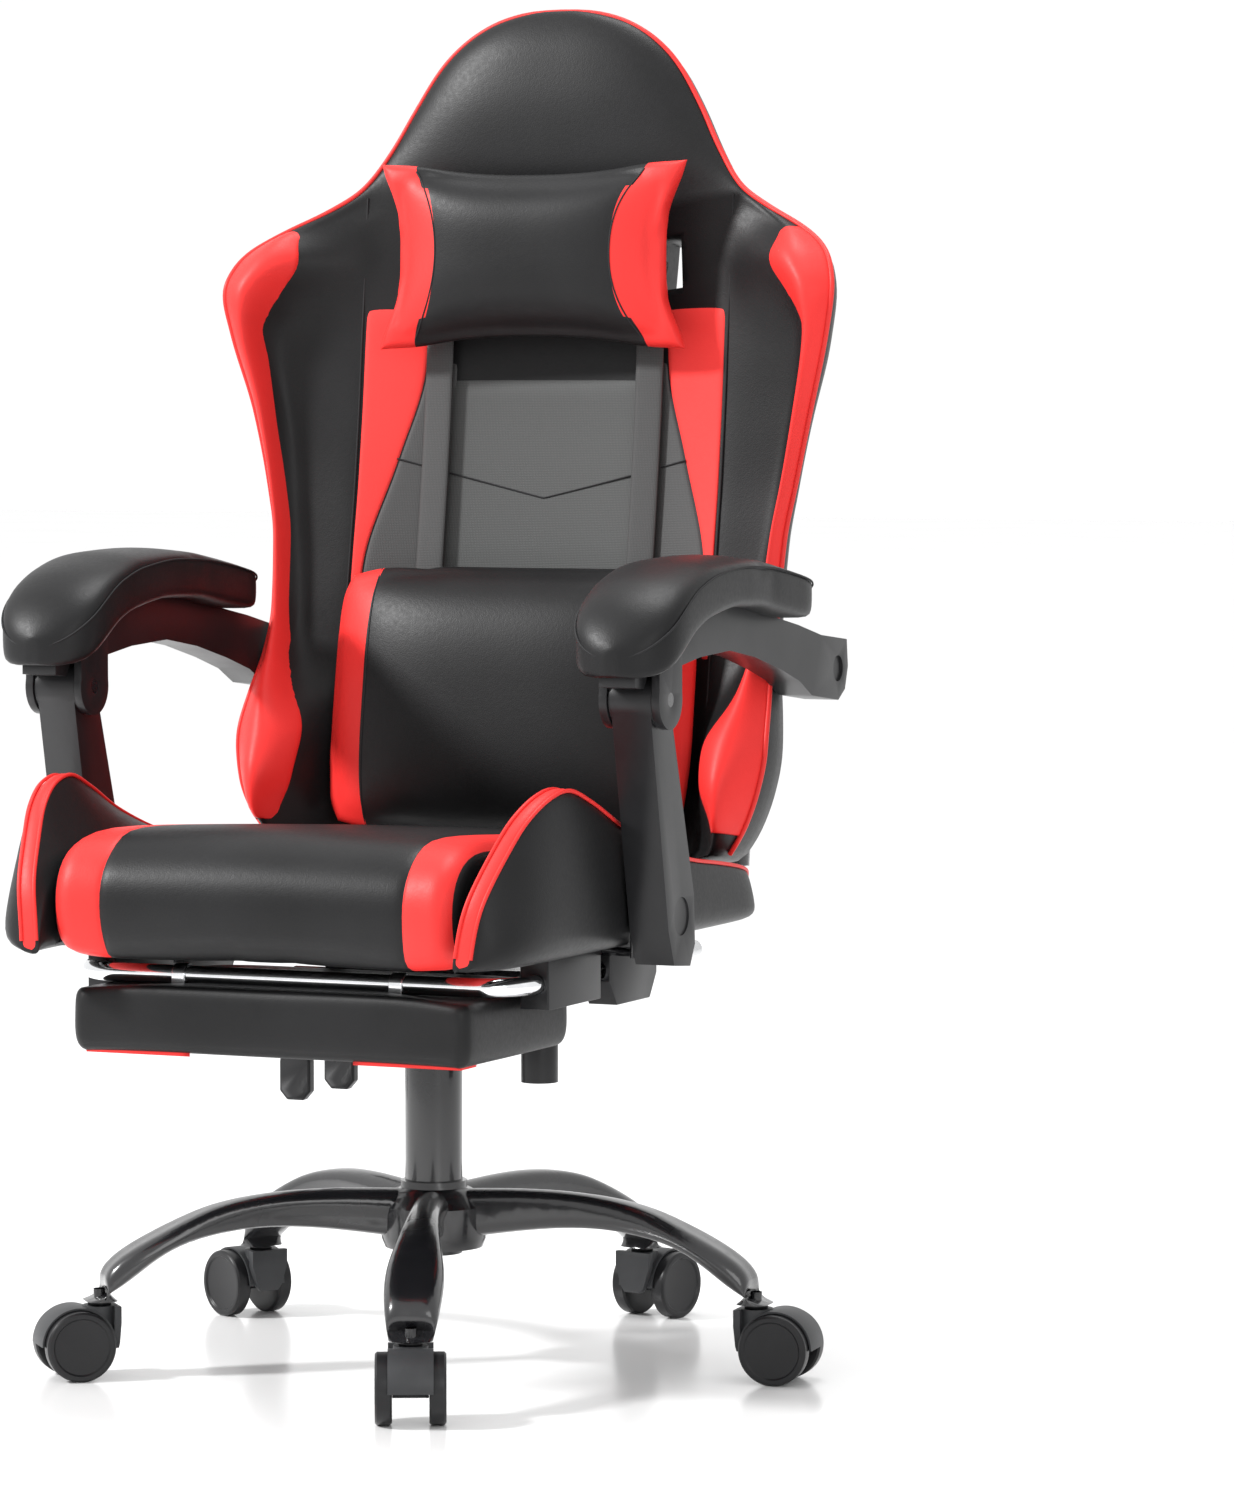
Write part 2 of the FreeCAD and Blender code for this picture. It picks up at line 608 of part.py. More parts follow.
def seat_plate():
    parts = [box(("-plate_half", "plate_front", "plate_bottom"), ("plate_half", "plate_rear", "plate_top"))]
    for side in (1, -1):
        low, high = side_span(side, "ear_inner", "ear_inner + ear_thick")
        parts.append(box((low, "tilt_y - 16", "tilt_z - 14"), (high, "tilt_y + 16", "plate_bottom + 1")))
    reach = "ear_inner + ear_thick + 2"
    bore = rod("tilt_pin + running_fit", f"2 * ({reach})", (f"-({reach})", "tilt_y", "tilt_z"), "X")
    node("seat_plate", cut(fuse(*parts), bore))


def seat_frame():
    low_z = "plate_top"
    top_z = "foam_bottom"
    parts = []
    for front in ("frame_front", "plate_front + 20", "plate_rear - 55", "frame_rear - rail_depth"):
        rear = f"{front} + rail_depth"
        parts.append(box(("-rail_outer", front, low_z), ("rail_outer", rear, top_z)))
    for side in (1, -1):
        low, high = side_span(side, "rail_inner", "rail_outer")
        parts.append(box((low, "frame_front", low_z), (high, "frame_rear", top_z)))
        low, high = side_span(side, "bracket_inner", "bracket_inner + hinge_plate")
        parts.append(box((low, "frame_rear - rail_depth", low_z), (high, "recline_y", "foam_bottom")))
        parts.append(box((low, "seat_rear + 2", low_z), (high, "recline_y", "recline_z + 19")))
        parts.append(rod("bracket_round", "hinge_plate", (low, "recline_y", "recline_z"), "X"))
        low, high = side_span(side, "rail_outer - 8", "rail_outer")
        foot_low = "seat_bottom - arm_strap_thick"
        parts.append(box((low, "arm_foot_front", foot_low), (high, "arm_foot_rear", low_z)))
        low, high = side_span(side, "rail_outer - 8", "arm_strap_outer")
        parts.append(box((low, "arm_foot_front", foot_low), (high, "arm_foot_rear", "seat_bottom")))
        low, high = side_span(side, "arm_strap_outer - 3", "arm_strap_outer")
        parts.append(box((low, "post_low_y - 17", foot_low), (high, "post_low_y + 17", "post_low_z + 16")))
    whole = fuse(*parts)
    across = "2 * arm_strap_outer + 20"
    hinge_bore = rod("recline_pin", across, ("-arm_strap_outer - 10", "recline_y", "recline_z"), "X")
    bolt_bore = rod("arm_bolt", across, ("-arm_strap_outer - 10", "post_low_y", "post_low_z"), "X")
    node("seat_frame", cut(whole, hinge_bore, bolt_bore))

    pins = []
    for side in (1, -1):
        low, high = side_span(side, "back_plate_inner - 2", "bracket_inner + hinge_plate + 2")
        pins.append(rod("recline_pin", f"({high}) - ({low})", (low, "recline_y", "recline_z"), "X"))
        low, high = side_span(side, "arm_strap_outer - 3", "arm_x + post_half - 2.5")
        pins.append(rod("arm_bolt", f"({high}) - ({low})", (low, "post_low_y", "post_low_z"), "X"))
    node("frame_pivot_pins", group(*pins))


def seat_cushion():
    node("seat_cushion", side_slab(SEAT_PROFILE, "-seat_half", "seat_half"))


def seat_bolsters():
    body = new_body()
    sections = []
    for back, inner_top, crown, crown_x in SEAT_BOLSTER:
        corners = [
            ("rail_inner", "foam_bottom"), ("rail_outer + 4", "foam_bottom"),
            ("rail_outer + 4", "seat_bottom"), ("bolster_outer - 10", "seat_bottom"),
            ("bolster_outer", f"seat_bottom + ({crown} - seat_bottom) * 0.3"),
            (f"min(bolster_outer; {crown_x + 12})", crown), (crown_x - 9, crown),
            ("rail_inner", inner_top),
        ]
        if back < -340:
            corners[4] = ("bolster_outer - 6", "seat_bottom + 8")
        placed = [(f"-({x})", z) for x, z in corners]
        sections.append(outline(new_sketch(body, "XZ_Plane", -back), placed))
    loft(body, sections, True)
    right = node("seat_bolster_right", body)
    left = doc.addObject("Part::Mirroring", fresh("Mirrored"))
    left.Source = right
    left.Normal = X_AXIS
    node("seat_bolster_left", left)


# ---------------------------------------------------------------- footrest

def footrest_guides():
    front_block = [(-231, "guide_bottom"), (-125, "guide_bottom"), (-125, "plate_top"), (-231, "plate_top")]
    blocks = []
    for side in (1, -1):
        low, high = side_span(side, "guide_inner", "guide_outer")
        for corners in (front_block, REAR_GUIDE):
            slide = rod("rail_tube + running_fit", 300, (f"{side} * rail_x", -260, "rail_z"), "Y")
            blocks.append(cut(side_slab(corners, low, high), slide))
    node("footrest_guides", group(*blocks))


def footrest_tube():
    body = new_body()
    path = new_sketch(body, "XY_Plane", "rail_z")
    corners = [
        ("rail_x", "rail_end"), ("rail_x", "bar_y"), ("-rail_x", "bar_y"), ("-rail_x", "rail_end"),
    ]
    bent_path(path, corners, ["rail_bend"] * 2)
    tube(body, path, "XZ_Plane", "-rail_end", "rail_x", "rail_z", "rail_tube", "rail_tube_wall")
    node("footrest_tube", body)


def footrest_pad():
    low = ("-board_half", "pad_front + 14", "pad_top")
    node("footrest_board", box(low, ("board_half", "pad_rear - 14", "pad_top + board_thick")))

    body = new_body()
    corners = [
        ("-pad_half", "pad_front"), ("pad_half", "pad_front"),
        ("pad_half", "pad_rear"), ("-pad_half", "pad_rear"),
    ]
    pad(body, outline(new_sketch(body, "XY_Plane", "pad_bottom"), corners), "pad_top - pad_bottom")
    round_all(body, 9)
    node("footrest_pad", body)

    clamps = []
    for side in (1, -1):
        start = f"{side} * clamp_x - clamp_half"
        stop = f"{side} * clamp_x + clamp_half"
        ring = rod("clamp_radius", "2 * clamp_half", (start, "bar_y", "rail_z"), "X")
        foot_low = (start, "bar_y - clamp_radius", "pad_top + board_thick")
        foot = box(foot_low, (stop, "bar_y + clamp_radius", "rail_z"))
        bore = rod("rail_tube + running_fit", "2 * clamp_half + 2", (f"{start} - 1", "bar_y", "rail_z"), "X")
        clamps.append(cut(fuse(ring, foot), bore))
    node("footrest_hinge_clamps", group(*clamps))


# ---------------------------------------------------------------- backrest

def back_frame():
    hoop = new_body()
    path = new_sketch(hoop, "XZ_Plane", "-back_tube_behind")
    half = [("back_tube_x", 25), ("back_tube_x", "back_tube_shoulder"), ("back_tube_top_x", "back_tube_top")]
    other = [(f"-{x}", y) for x, y in reversed(half)]
    bent_path(path, half + other, ["back_bend"] * 4)
    tube(hoop, path, "XY_Plane", 25, "back_tube_x", "back_tube_behind", "back_tube", "back_tube_wall")
    crossbar = rod("back_tube - 1", "2 * back_tube_x - 18", ("9 - back_tube_x", "back_tube_behind", 40), "X")
    parts = [hoop, crossbar]
    for side in (1, -1):
        low, high = side_span(side, "back_plate_inner", "back_plate_inner + hinge_plate")
        parts.append(side_slab(HINGE_PLATE, low, high))
    bore = rod("recline_pin + running_fit", "2 * rail_outer", ("-rail_outer", 0, 0), "X")
    finished = cut(fuse(*parts), bore)
    lean_back(finished)
    node("back_frame", finished)


def strap_slots(rear, front):
    """The two strap slots, as blocks that cut through the backrest."""
    slots = []
    for side in (1, -1):
        low, high = side_span(side, "slot_inner", "slot_outer")
        slots.append(box((low, f"-({front})", "slot_low"), (high, f"-({rear})", "slot_high")))
    return slots


def back_cushion():
    lower = [("-panel_half", 62), ("panel_half", 62), ("panel_half", 503), ("-panel_half", 503)]
    panel = back_slab(lower, "-cover_front + 1", "-panel_behind")
    head = back_slab(mirrored(HEAD_OUTLINE), "-wing_back - 1", 12)
    finished = cut(fuse(panel, head), *strap_slots(-60, 20))
    lean_back(finished)
    node("back_cushion", finished)


def back_cover():
    skin = back_slab(mirrored(COVER_OUTLINE), "-cover_front - cover_thick", "-cover_front")
    finished = cut(skin, *strap_slots(-80, -40))
    lean_back(finished)
    node("back_cover", finished)


def back_wing(side, name):
    body = new_body()
    sections = []
    for up, inner, outer, inner_front, outer_front in BACK_WING:
        corners = [
            (inner, "wing_back"), (outer, "wing_back"), (outer, -outer_front),
            (max(outer - 22, inner + 4), -outer_front), (inner, -inner_front),
        ]
        placed = [(f"{side} * ({x})", y) for x, y in corners]
        sections.append(outline(new_sketch(body, "XY_Plane", up), placed))
    loft(body, sections, True)
    lean_back(body)
    node("back_wing_" + name, body)


def pillows():
    head = back_slab(mirrored(HEAD_PILLOW), 14, 78)
    lean_back(head)
    node("head_pillow", head)
    corners = [(-170, 45), (170, 45), (170, 272), (-170, 272)]
    lumbar = back_slab(corners, "-panel_behind + 2", 75)
    lean_back(lumbar)
    node("lumbar_pillow", lumbar)


def arm_rear_bolts():
    bolts = []
    for side in (1, -1):
        low, high = side_span(side, "back_tube_x + back_tube", "arm_x + bracket_half - 6")
        bolts.append(rod("rear_bolt", f"({high}) - ({low})", (low, "rear_y", "rear_z"), "X"))
    node("arm_rear_bolts", group(*bolts))


# ---------------------------------------------------------------- armrests

def arm_span(side, inner, outer):
    """The lower and upper x of a stretch measured from the armrest's own middle."""
    return side_span(side, f"arm_x + ({inner})", f"arm_x + ({outer})")


def arm_post(side, name):
    low, high = arm_span(side, "-post_half", "post_half")
    shank = side_slab(ARM_POST, low, high)
    barrel_low = arm_span(side, "-barrel_half", "barrel_half")[0]
    barrel = rod("barrel_radius", "2 * barrel_half", (barrel_low, "elbow_y", "elbow_z"), "X")
    bore_start = (f"{barrel_low} - 5", "elbow_y", "elbow_z")
    elbow_bore = rod("arm_bolt + running_fit", "2 * cheek_half", bore_start, "X")
    low, high = arm_span(side, "-post_half - 1", "post_half - 2.3")
    low_bore = rod("arm_bolt + running_fit", f"({high}) - ({low})", (low, "post_low_y", "post_low_z"), "X")
    low, high = arm_span(side, "post_half - 1.5", "post_half + 1")
    dimple = rod(16, f"({high}) - ({low})", (low, "post_low_y", "post_low_z"), "X")
    node("arm_post_" + name, cut(fuse(shank, barrel), elbow_bore, low_bore, dimple))


def arm_bracket(side, name):
    low, high = arm_span(side, "-bracket_half", "bracket_half")
    parts = [side_slab(ARM_BRACKET, low, high)]
    wide_low, wide_high = arm_span(side, "-cheek_half", "cheek_half")
    parts.append(side_slab(ARM_BRIDGE, wide_low, wide_high))
    for inner, outer in (("-cheek_half", "-cheek_gap"), ("cheek_gap", "cheek_half")):
        low, high = arm_span(side, inner, outer)
        parts.append(rod("cheek_radius", "cheek_half - cheek_gap", (low, "elbow_y", "elbow_z"), "X"))
        parts.append(side_slab(ARM_CHEEK, low, high))
    bolt_bore = rod("arm_bolt", "2 * cheek_half + 2", (f"{wide_low} - 1", "elbow_y", "elbow_z"), "X")
    low, high = arm_span(side, "-bracket_half - 1", "bracket_half - 5")
    eye = rod("rear_eye", f"({high}) - ({low})", (low, "rear_y", "rear_z"), "X")
    low, high = arm_span(side, "bracket_half - 2.5", "bracket_half + 1")
    recess = rod("rear_eye + 1.5", f"({high}) - ({low})", (low, "rear_y", "rear_z"), "X")
    node("arm_bracket_" + name, cut(fuse(*parts), bolt_bore, eye, recess))
    node("arm_elbow_bolt_" + name, rod("arm_bolt", "2 * cheek_half", (wide_low, "elbow_y", "elbow_z"), "X"))


def arm_pad(side, name):
    low, high = arm_span(side, "-arm_pad_half", "arm_pad_half")
    node("arm_pad_" + name, side_slab(ARM_PAD, low, high))


# ---------------------------------------------------------------- whole chair

star_base()
caster_stems()
for caster in range(SIZES["arm_count"]):
    caster_fork(caster)
    caster_axle(caster)
    caster_wheel(caster, 1, "right")
    caster_wheel(caster, -1, "left")
gas_lift()
tilt_housing()
lever("height_lever", "height_lever_y", "height_lever_y")
lever("tilt_lever", "tilt_lever_y - 20", "tilt_lever_y")
tension_knob()
seat_plate()
seat_frame()
seat_cushion()
seat_bolsters()
footrest_guides()
footrest_tube()
footrest_pad()
back_frame()
back_cushion()
back_cover()
pillows()
arm_rear_bolts()
for side_sign, side_name in ((1, "left"), (-1, "right")):
    back_wing(side_sign, side_name)
    arm_post(side_sign, side_name)
    arm_bracket(side_sign, side_name)
    arm_pad(side_sign, side_name)
doc.recompute()

for item in doc.Objects:
    if {"Invalid", "Error"} & set(item.State):
        raise RuntimeError(f"{item.Label} failed: {item.State}")
for label, item in nodes.items():
    shape = item.Shape
    if shape.isNull() or not shape.isValid() or not shape.Solids:
        raise RuntimeError(f"{label} has no valid solid")

os.makedirs("parts", exist_ok=True)
for label, item in nodes.items():
    item.Shape.exportStep(f"parts/{label}.step")
    print(f"{label:26s} {len(item.Shape.Solids):2d} solid(s) {item.Shape.Volume / 1000:10.1f} cm3")
print(len(nodes), "nodes")
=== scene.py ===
import math

import bmesh
import bpy
import numpy as np
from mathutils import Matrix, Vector
from mathutils.bvhtree import BVHTree


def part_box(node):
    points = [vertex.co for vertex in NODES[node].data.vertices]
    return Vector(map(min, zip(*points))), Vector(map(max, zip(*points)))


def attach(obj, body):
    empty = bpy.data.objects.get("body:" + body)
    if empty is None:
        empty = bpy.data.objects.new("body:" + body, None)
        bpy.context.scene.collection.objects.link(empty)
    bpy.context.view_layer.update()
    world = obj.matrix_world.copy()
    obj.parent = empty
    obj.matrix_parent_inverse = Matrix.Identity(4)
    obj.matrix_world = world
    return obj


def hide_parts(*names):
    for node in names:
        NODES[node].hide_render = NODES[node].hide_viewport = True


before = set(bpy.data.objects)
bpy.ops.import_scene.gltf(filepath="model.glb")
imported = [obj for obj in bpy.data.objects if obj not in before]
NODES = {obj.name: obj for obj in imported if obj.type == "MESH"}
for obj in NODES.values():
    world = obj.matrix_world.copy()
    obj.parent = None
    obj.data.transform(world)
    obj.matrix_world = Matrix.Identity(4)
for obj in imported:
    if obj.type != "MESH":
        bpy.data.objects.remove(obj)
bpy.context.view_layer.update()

# The backrest's own frame: x across, u up the back from the recline hinge, w forward out of it.
HINGE_Y = 0.165
HINGE_Z = 0.405
LEAN = math.radians(8.5)
SIDES = ((1, "left"), (-1, "right"))


# ---------------------------------------------------------------- materials

def shader(name, color, roughness, metallic=0.0):
    """A Principled material, its node tree and its shader node."""
    material = bpy.data.materials.new(name)
    material.use_nodes = True
    tree = material.node_tree
    bsdf = tree.nodes["Principled BSDF"]
    bsdf.inputs["Base Color"].default_value = (*color, 1)
    bsdf.inputs["Roughness"].default_value = roughness
    bsdf.inputs["Metallic"].default_value = metallic
    material.diffuse_color = (*color, 1)
    return material, tree, bsdf


def object_noise(tree, scale, detail=4.0, roughness=0.6):
    coordinates = tree.nodes.new("ShaderNodeTexCoord")
    noise = tree.nodes.new("ShaderNodeTexNoise")
    noise.inputs["Scale"].default_value = scale
    noise.inputs["Detail"].default_value = detail
    noise.inputs["Roughness"].default_value = roughness
    tree.links.new(coordinates.outputs["Object"], noise.inputs["Vector"])
    return noise


def ranged(tree, source, low, high):
    """A map from 0..1 to low..high."""
    node = tree.nodes.new("ShaderNodeMapRange")
    node.inputs["To Min"].default_value = low
    node.inputs["To Max"].default_value = high
    tree.links.new(source, node.inputs["Value"])
    return node.outputs["Result"]


def tinted(tree, source, dark, light):
    """A colour that wanders between two tones."""
    ramp = tree.nodes.new("ShaderNodeValToRGB")
    ramp.color_ramp.elements[0].position = 0.3
    ramp.color_ramp.elements[1].position = 0.7
    ramp.color_ramp.elements[0].color = (*dark, 1)
    ramp.color_ramp.elements[1].color = (*light, 1)
    tree.links.new(source, ramp.inputs["Fac"])
    return ramp.outputs["Color"]


def bumped(tree, bsdf, heights, distance):
    """Chain bumps, each (socket, strength), into the shader's normal."""
    normal = None
    for socket, strength in heights:
        bump = tree.nodes.new("ShaderNodeBump")
        bump.inputs["Strength"].default_value = strength
        bump.inputs["Distance"].default_value = distance
        tree.links.new(socket, bump.inputs["Height"])
        if normal:
            tree.links.new(normal, bump.inputs["Normal"])
        normal = bump.outputs["Normal"]
    tree.links.new(normal, bsdf.inputs["Normal"])


def leather(name, color, roughness=0.42, spread=0.25):
    """Coated upholstery: pebbled grain, soft creases, slightly uneven colour and gloss."""
    material, tree, bsdf = shader(name, color, roughness)
    bsdf.inputs["Specular IOR Level"].default_value = 0.20
    coordinates = tree.nodes.new("ShaderNodeTexCoord")
    pebble = tree.nodes.new("ShaderNodeTexVoronoi")
    pebble.inputs["Scale"].default_value = 900
    tree.links.new(coordinates.outputs["Object"], pebble.inputs["Vector"])
    crease = object_noise(tree, 260, 3, 0.55)
    cloud = object_noise(tree, 9, 3, 0.5)
    dark = tuple(channel * (1 - spread) for channel in color)
    light = tuple(min(1, channel * (1 + spread)) for channel in color)
    tree.links.new(tinted(tree, cloud.outputs["Fac"], dark, light), bsdf.inputs["Base Color"])
    gloss = ranged(tree, crease.outputs["Fac"], roughness - 0.07, roughness + 0.09)
    tree.links.new(gloss, bsdf.inputs["Roughness"])
    bumped(tree, bsdf, [(pebble.outputs["Distance"], 0.10), (crease.outputs["Fac"], 0.14)], 0.0006)
    return material


def woven(name, color, roughness=0.62):
    """Fine embossed cloth-look panel: two crossed sets of fine ribs."""
    material, tree, bsdf = shader(name, color, roughness)
    coordinates = tree.nodes.new("ShaderNodeTexCoord")
    ribs = []
    for direction in ("X", "Z"):
        wave = tree.nodes.new("ShaderNodeTexWave")
        wave.wave_type = "BANDS"
        wave.bands_direction = direction
        wave.inputs["Scale"].default_value = 210
        wave.inputs["Distortion"].default_value = 0.6
        wave.inputs["Detail"].default_value = 1
        tree.links.new(coordinates.outputs["Object"], wave.inputs["Vector"])
        ribs.append(wave.outputs["Fac"])
    weave = tree.nodes.new("ShaderNodeMath")
    weave.operation = "MULTIPLY"
    tree.links.new(ribs[0], weave.inputs[0])
    tree.links.new(ribs[1], weave.inputs[1])
    dark = tuple(channel * 0.72 for channel in color)
    light = tuple(channel * 1.2 for channel in color)
    tree.links.new(tinted(tree, weave.outputs["Value"], dark, light), bsdf.inputs["Base Color"])
    bumped(tree, bsdf, [(weave.outputs["Value"], 0.3)], 0.0005)
    return material


def moulded(name, color, roughness, grain=700, depth=0.12):
    """Moulded plastic with a fine spark-eroded texture and faint scuffs."""
    material, tree, bsdf = shader(name, color, roughness)
    bsdf.inputs["Specular IOR Level"].default_value = 0.28
    fine = object_noise(tree, grain, 2, 0.5)
    broad = object_noise(tree, 22, 4, 0.6)
    dark = tuple(channel * 0.85 for channel in color)
    light = tuple(channel * 1.18 for channel in color)
    tree.links.new(tinted(tree, broad.outputs["Fac"], dark, light), bsdf.inputs["Base Color"])
    gloss = ranged(tree, broad.outputs["Fac"], roughness - 0.06, roughness + 0.08)
    tree.links.new(gloss, bsdf.inputs["Roughness"])
    bumped(tree, bsdf, [(fine.outputs["Fac"], depth)], 0.0004)
    return material


def painted(name, color, roughness):
    """Glossy powder coat over metal, with faint orange peel."""
    material, tree, bsdf = shader(name, color, roughness)
    bsdf.inputs["Coat Weight"].default_value = 0.6
    bsdf.inputs["Coat Roughness"].default_value = 0.09
    peel = object_noise(tree, 320, 2, 0.5)
    broad = object_noise(tree, 14, 3, 0.5)
    gloss = ranged(tree, broad.outputs["Fac"], roughness - 0.05, roughness + 0.07)
    tree.links.new(gloss, bsdf.inputs["Roughness"])
    light = tuple(channel * 1.5 for channel in color)
    tree.links.new(tinted(tree, broad.outputs["Fac"], color, light), bsdf.inputs["Base Color"])
    bumped(tree, bsdf, [(peel.outputs["Fac"], 0.06)], 0.0006)
    return material


def chromed(name):
    material, tree, bsdf = shader(name, (0.86, 0.87, 0.88), 0.1, 1.0)
    brushed = object_noise(tree, 60, 3, 0.5)
    tree.links.new(ranged(tree, brushed.outputs["Fac"], 0.06, 0.17), bsdf.inputs["Roughness"])
    warm = (0.80, 0.81, 0.82)
    cool = (0.90, 0.91, 0.93)
    tree.links.new(tinted(tree, brushed.outputs["Fac"], warm, cool), bsdf.inputs["Base Color"])
    return material


def plywood(name):
    material, tree, bsdf = shader(name, (0.45, 0.33, 0.2), 0.7)
    coordinates = tree.nodes.new("ShaderNodeTexCoord")
    stretch = tree.nodes.new("ShaderNodeMapping")
    stretch.inputs["Scale"].default_value = (4, 60, 60)
    grain = tree.nodes.new("ShaderNodeTexNoise")
    grain.inputs["Scale"].default_value = 3
    grain.inputs["Detail"].default_value = 6
    tree.links.new(coordinates.outputs["Object"], stretch.inputs["Vector"])
    tree.links.new(stretch.outputs["Vector"], grain.inputs["Vector"])
    ply = tinted(tree, grain.outputs["Fac"], (0.3, 0.2, 0.11), (0.55, 0.41, 0.26))
    tree.links.new(ply, bsdf.inputs["Base Color"])
    bumped(tree, bsdf, [(grain.outputs["Fac"], 0.15)], 0.0005)
    return material


BLACK = leather("black_leather", (0.009, 0.009, 0.0095), 0.42)
RED = leather("red_leather", (0.72, 0.030, 0.027), 0.45, 0.05)
PIPING = leather("piping_red", (0.66, 0.030, 0.027), 0.42, 0.05)
GREY = woven("grey_weave", (0.052, 0.054, 0.053))
DARK_WEAVE = woven("dark_weave", (0.040, 0.040, 0.040))
RED_WEAVE = leather("red_weave", (0.78, 0.040, 0.036), 0.62, 0.05)
THREAD = moulded("thread", (0.012, 0.012, 0.013), 0.7, 1500)
PLASTIC = moulded("black_plastic", (0.012, 0.012, 0.013), 0.36)
CASTER = moulded("caster_plastic", (0.012, 0.012, 0.013), 0.33)
HOOD = moulded("hood_plastic", (0.034, 0.035, 0.037), 0.42)
PAINT = painted("black_paint", (0.005, 0.005, 0.006), 0.25)
CHROME = chromed("chrome")
STEEL = chromed("bright_steel")
BOARD = plywood("plywood")


# ---------------------------------------------------------------- mesh helpers

def smooth_table(table):
    """A smooth monotone curve through rows of (place, value, value...), as a function of place."""
    rows = np.array(table, float)
    places = rows[:, 0]
    values = rows[:, 1:]
    steps = np.diff(places)[:, None]
    slopes = np.diff(values, axis=0) / steps
    tangents = np.zeros_like(values)
    tangents[0] = slopes[0]
    tangents[-1] = slopes[-1]
    same_way = slopes[:-1] * slopes[1:] > 0
    harmonic = 2 * slopes[:-1] * slopes[1:] / np.where(same_way, slopes[:-1] + slopes[1:], 1)
    tangents[1:-1] = np.where(same_way, harmonic, 0)

    def curve(place):
        place = min(max(place, places[0]), places[-1])
        index = min(int(np.searchsorted(places, place, side="right")) - 1, len(places) - 2)
        width = places[index + 1] - places[index]
        s = (place - places[index]) / width
        start = (1 + 2 * s) * (1 - s) ** 2 * values[index] + s * (1 - s) ** 2 * width * tangents[index]
        end = s * s * (3 - 2 * s) * values[index + 1] + s * s * (s - 1) * width * tangents[index + 1]
        return start + end

    return curve


def mesh_piece(name, vertices, faces, materials, face_material=None, level=0):
    """A new object from plain lists, with consistent normals and smooth shading."""
    mesh = bpy.data.meshes.new(name)
    mesh.from_pydata([tuple(map(float, vertex)) for vertex in vertices], [], faces)
    for material in materials:
        mesh.materials.append(material)
    if face_material is not None:
        mesh.polygons.foreach_set("material_index", np.asarray(face_material, np.int32))
    mesh.polygons.foreach_set("use_smooth", [True] * len(mesh.polygons))
    clean = bmesh.new()
    clean.from_mesh(mesh)
    bmesh.ops.remove_doubles(clean, verts=clean.verts, dist=1e-6)
    bmesh.ops.recalc_face_normals(clean, faces=clean.faces)
    clean.to_mesh(mesh)
    clean.free()
    piece = bpy.data.objects.new(name, mesh)
    bpy.context.scene.collection.objects.link(piece)
    if level:
        subdivide(piece, level)
    return piece


def subdivide(piece, level):
    modifier = piece.modifiers.new("Smooth", "SUBSURF")
    modifier.levels = level
    modifier.render_levels = level


def loft(name, rings, materials, ring_material=None, level=1):
    """A closed body through rings of equal length; ring_material gives one slot for each column."""
    count = len(rings[0])
    vertices = [point for ring in rings for point in ring]
    faces = []
    slots = []
    for row in range(len(rings) - 1):
        for column in range(count):
            following = (column + 1) % count
            faces.append((row * count + column, row * count + following,
                          (row + 1) * count + following, (row + 1) * count + column))
            slots.append(ring_material[column] if ring_material else 0)
    for row in (0, len(rings) - 1):
        middle = np.mean(rings[row], axis=0)
        vertices.append(middle)
        centre = len(vertices) - 1
        for column in range(count):
            faces.append((row * count + column, row * count + (column + 1) % count, centre))
            slots.append(ring_material[column] if ring_material else 0)
    return mesh_piece(name, vertices, faces, materials, slots, level)


def slab(name, front, back, material, level=1):
    """A closed thin body from two equal grids of points, front and back."""
    rows = len(front)
    columns = len(front[0])
    vertices = [point for grid in (front, back) for row in grid for point in row]
    offset = rows * columns
    faces = []
    for row in range(rows - 1):
        for column in range(columns - 1):
            a = row * columns + column
            faces.append((a, a + 1, a + columns + 1, a + columns))
            faces.append((offset + a, offset + a + columns, offset + a + columns + 1, offset + a + 1))
    rim = [(0, column) for column in range(columns)] + [(row, columns - 1) for row in range(1, rows)]
    rim += [(rows - 1, column) for column in range(columns - 2, -1, -1)]
    rim += [(row, 0) for row in range(rows - 2, 0, -1)]
    for (row, column), (next_row, next_column) in zip(rim, rim[1:] + rim[:1]):
        a = row * columns + column
        b = next_row * columns + next_column
        faces.append((a, offset + a, offset + b, b))
    return mesh_piece(name, vertices, faces, [material], None, level)


def cord_line(name, points, radius, material, closed=False, sides=8):
    """A round bead along points, as a mesh tube with closed ends."""
    curve = bpy.data.curves.new(name + "_path", "CURVE")
    curve.dimensions = "3D"
    spline = curve.splines.new("NURBS")
    spline.points.add(len(points) - 1)
    for spot, point in zip(spline.points, points):
        spot.co = (*point, 1)
    spline.order_u = 3
    spline.use_cyclic_u = closed
    spline.use_endpoint_u = not closed
    spline.resolution_u = 3
    curve.bevel_depth = radius
    curve.bevel_resolution = sides // 4
    curve.use_fill_caps = not closed
    source = bpy.data.objects.new(name + "_curve", curve)
    bpy.context.scene.collection.objects.link(source)
    bpy.context.view_layer.update()
    mesh = bpy.data.meshes.new_from_object(source.evaluated_get(bpy.context.evaluated_depsgraph_get()))
    bpy.data.objects.remove(source)
    bpy.data.curves.remove(curve)
    mesh.name = name
    mesh.materials.clear()
    mesh.materials.append(material)
    mesh.polygons.foreach_set("use_smooth", [True] * len(mesh.polygons))
    piece = bpy.data.objects.new(name, mesh)
    bpy.context.scene.collection.objects.link(piece)
    return piece


